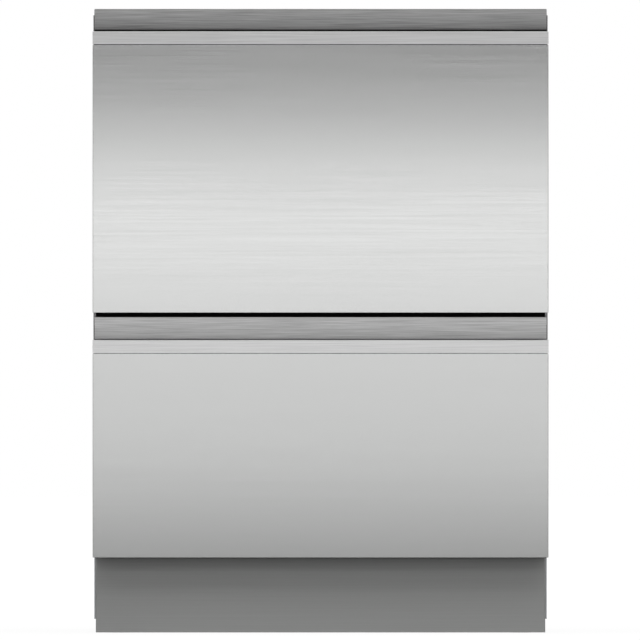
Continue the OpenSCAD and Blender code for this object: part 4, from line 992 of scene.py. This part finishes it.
def painted_shade_below(material, height, painted_shade_colour):
    """Paints shade into the sheet's colour: near black below a height, where the trough is in shade, and
    darker on the strip just above it, fading out upwards.
    """
    tree = material.node_tree
    shader = tree.nodes["Principled BSDF"]
    up = part_of(tree, tree.nodes.new("ShaderNodeTexCoord").outputs["Object"], "Z")
    edge = spread(tree, up, 0, 1, height - PAINTED_SHADE_EDGE, height + PAINTED_SHADE_EDGE)
    painted_shade_ramp = spread(tree, up, PAINTED_SHADE_SHARE, 1, height, height + PAINTED_SHADE_HEIGHT)
    blend = tree.nodes.new("ShaderNodeMix")
    blend.data_type = "RGBA"
    blend.inputs["A"].default_value = (*painted_shade_colour, 1)
    tree.links.new(calculated(tree, "MULTIPLY", edge, painted_shade_ramp), blend.inputs["Factor"])
    tree.links.new(shader.inputs["Base Color"].links[0].from_socket, blend.inputs["B"])
    tree.links.new(blend.outputs["Result"], shader.inputs["Base Color"])


# Painted shade of the grip channels: how soft the step to near black is at the lip's top, the height over
# which the painted shade above it fades out, and how dark that painted shade starts.
PAINTED_SHADE_EDGE, PAINTED_SHADE_HEIGHT, PAINTED_SHADE_SHARE = 0.0006, 0.022, 0.64
WALL_Y, WEB_Y, TROUGH_X, STRIP_X = -0.2817, -0.2605, 0.2943, 0.297
TROUGH_Z, STRIP_TOP = 0.353, 0.415
channel = folded_strip("channel_sheet", [(WALL_Y, 0.3825), (WALL_Y, TROUGH_Z), (WEB_Y, TROUGH_Z),
                                         (WEB_Y, STRIP_TOP), (-0.2525, STRIP_TOP)],
                       (-STRIP_X, -TROUGH_X, TROUGH_X, STRIP_X), (0.004, 0.004, 0.0004))
edit(channel)
pick_faces(channel, lambda at, normal: abs(at.x) > TROUGH_X and at.y < WEB_Y - 0.0001 and at.z < 0.40)
bpy.ops.mesh.delete(type="FACE")
bpy.ops.object.mode_set(mode="OBJECT")
thicken(channel, 0.002)
upper_channel = copied(channel, "upper_channel_sheet", (0, 0, DRAWER_STEP))
channel.name = "lower_channel_sheet"
# Each strip's steel tone and the top of its painted shade: the upper strip's steel is painted darker than
# the lower's, as painted shade, though both are the same steel.
for drawer, sheet, painted_shade_top, shade in (("lower", channel, 0.3860, 0.62),
                                       ("upper", upper_channel, 0.7928, 0.48)):
    strip_steel_painted_shade = brushed_steel(drawer + "_strip_steel_painted_shade", (shade, shade, shade), 0.34, 14, 0.27)
    painted_shade_below(strip_steel_painted_shade, painted_shade_top, (0.03, 0.03, 0.03))
    hand_over(sheet, strip_steel_painted_shade, "brushed_steel", drawer + "_drawer", drawer + "_grip_channel")


# ---------------- grip lips
# Brushed stainless strip 2.5 mm thick, folded to a hook over the channel's front wall, level with the
# skin below it and as wide.
HALF_FRONT, LIP_BACK_Y, LIP_HOOK = 0.2995, -0.2789, 0.012
# The upper drawer's lip steel is painted darker than the lower's, as painted shade, though both lips are
# the same steel.
for drawer, low, high, shade in (("lower", 0.3675, 0.3851, 0.90), ("upper", 0.7734, 0.7902, 0.78)):
    lip_steel_painted_shade = brushed_steel(drawer + "_lip_steel_painted_shade", (shade, shade, shade), 0.40, 12, 0.10)
    lip = folded_strip(drawer + "_lip_strip", [(FACE_Y, low), (FACE_Y, high), (LIP_BACK_Y, high),
                                               (LIP_BACK_Y, high - LIP_HOOK)],
                       (-HALF_FRONT, HALF_FRONT), (0.0012, 0.0012))
    thicken(lip, 0.0025)
    hand_over(lip, lip_steel_painted_shade, "grip_steel", drawer + "_drawer", drawer + "_grip_lip")


# ---------------- drawer skins
# Fine-brushed stainless sheet 1 mm thick, folded back at both sides and at the foot, with a short
# return under the lip. The lower drawer's skin is lower.
def at_seam(a, b):
    """True for an edge along the skin's top, in the plane of the front."""
    return all(near(end.z, seam_z) and near(end.y, FACE_Y) for end in (a, b))


panel_steel = brushed_steel("panel_steel", (0.72, 0.725, 0.72), 0.22, 4, 0.012)
SKIN_BACK_Y, SKIN_RETURN = -0.2685, 0.0025
for drawer, foot_z, seam_z in (("lower", 0.0991, 0.3669), ("upper", 0.4208, 0.7725)):
    skin = folded_tray(drawer + "_skin", (-HALF_FRONT, FACE_Y, foot_z),
                       (HALF_FRONT, SKIN_BACK_Y, seam_z), 0.0012, 0.0003,
                       lambda at, normal: normal.y > 0.9 or normal.z > 0.9)
    edit(skin)
    pick_edges(skin, at_seam)
    bpy.ops.mesh.extrude_region_move(TRANSFORM_OT_translate={"value": (0, SKIN_RETURN, 0)})
    pick_edges(skin, at_seam)
    round_picked(0.0003, 2)
    bpy.ops.object.mode_set(mode="OBJECT")
    thicken(skin, 0.001)
    hand_over(skin, panel_steel, "brushed_steel", drawer + "_drawer", drawer + "_front_panel")
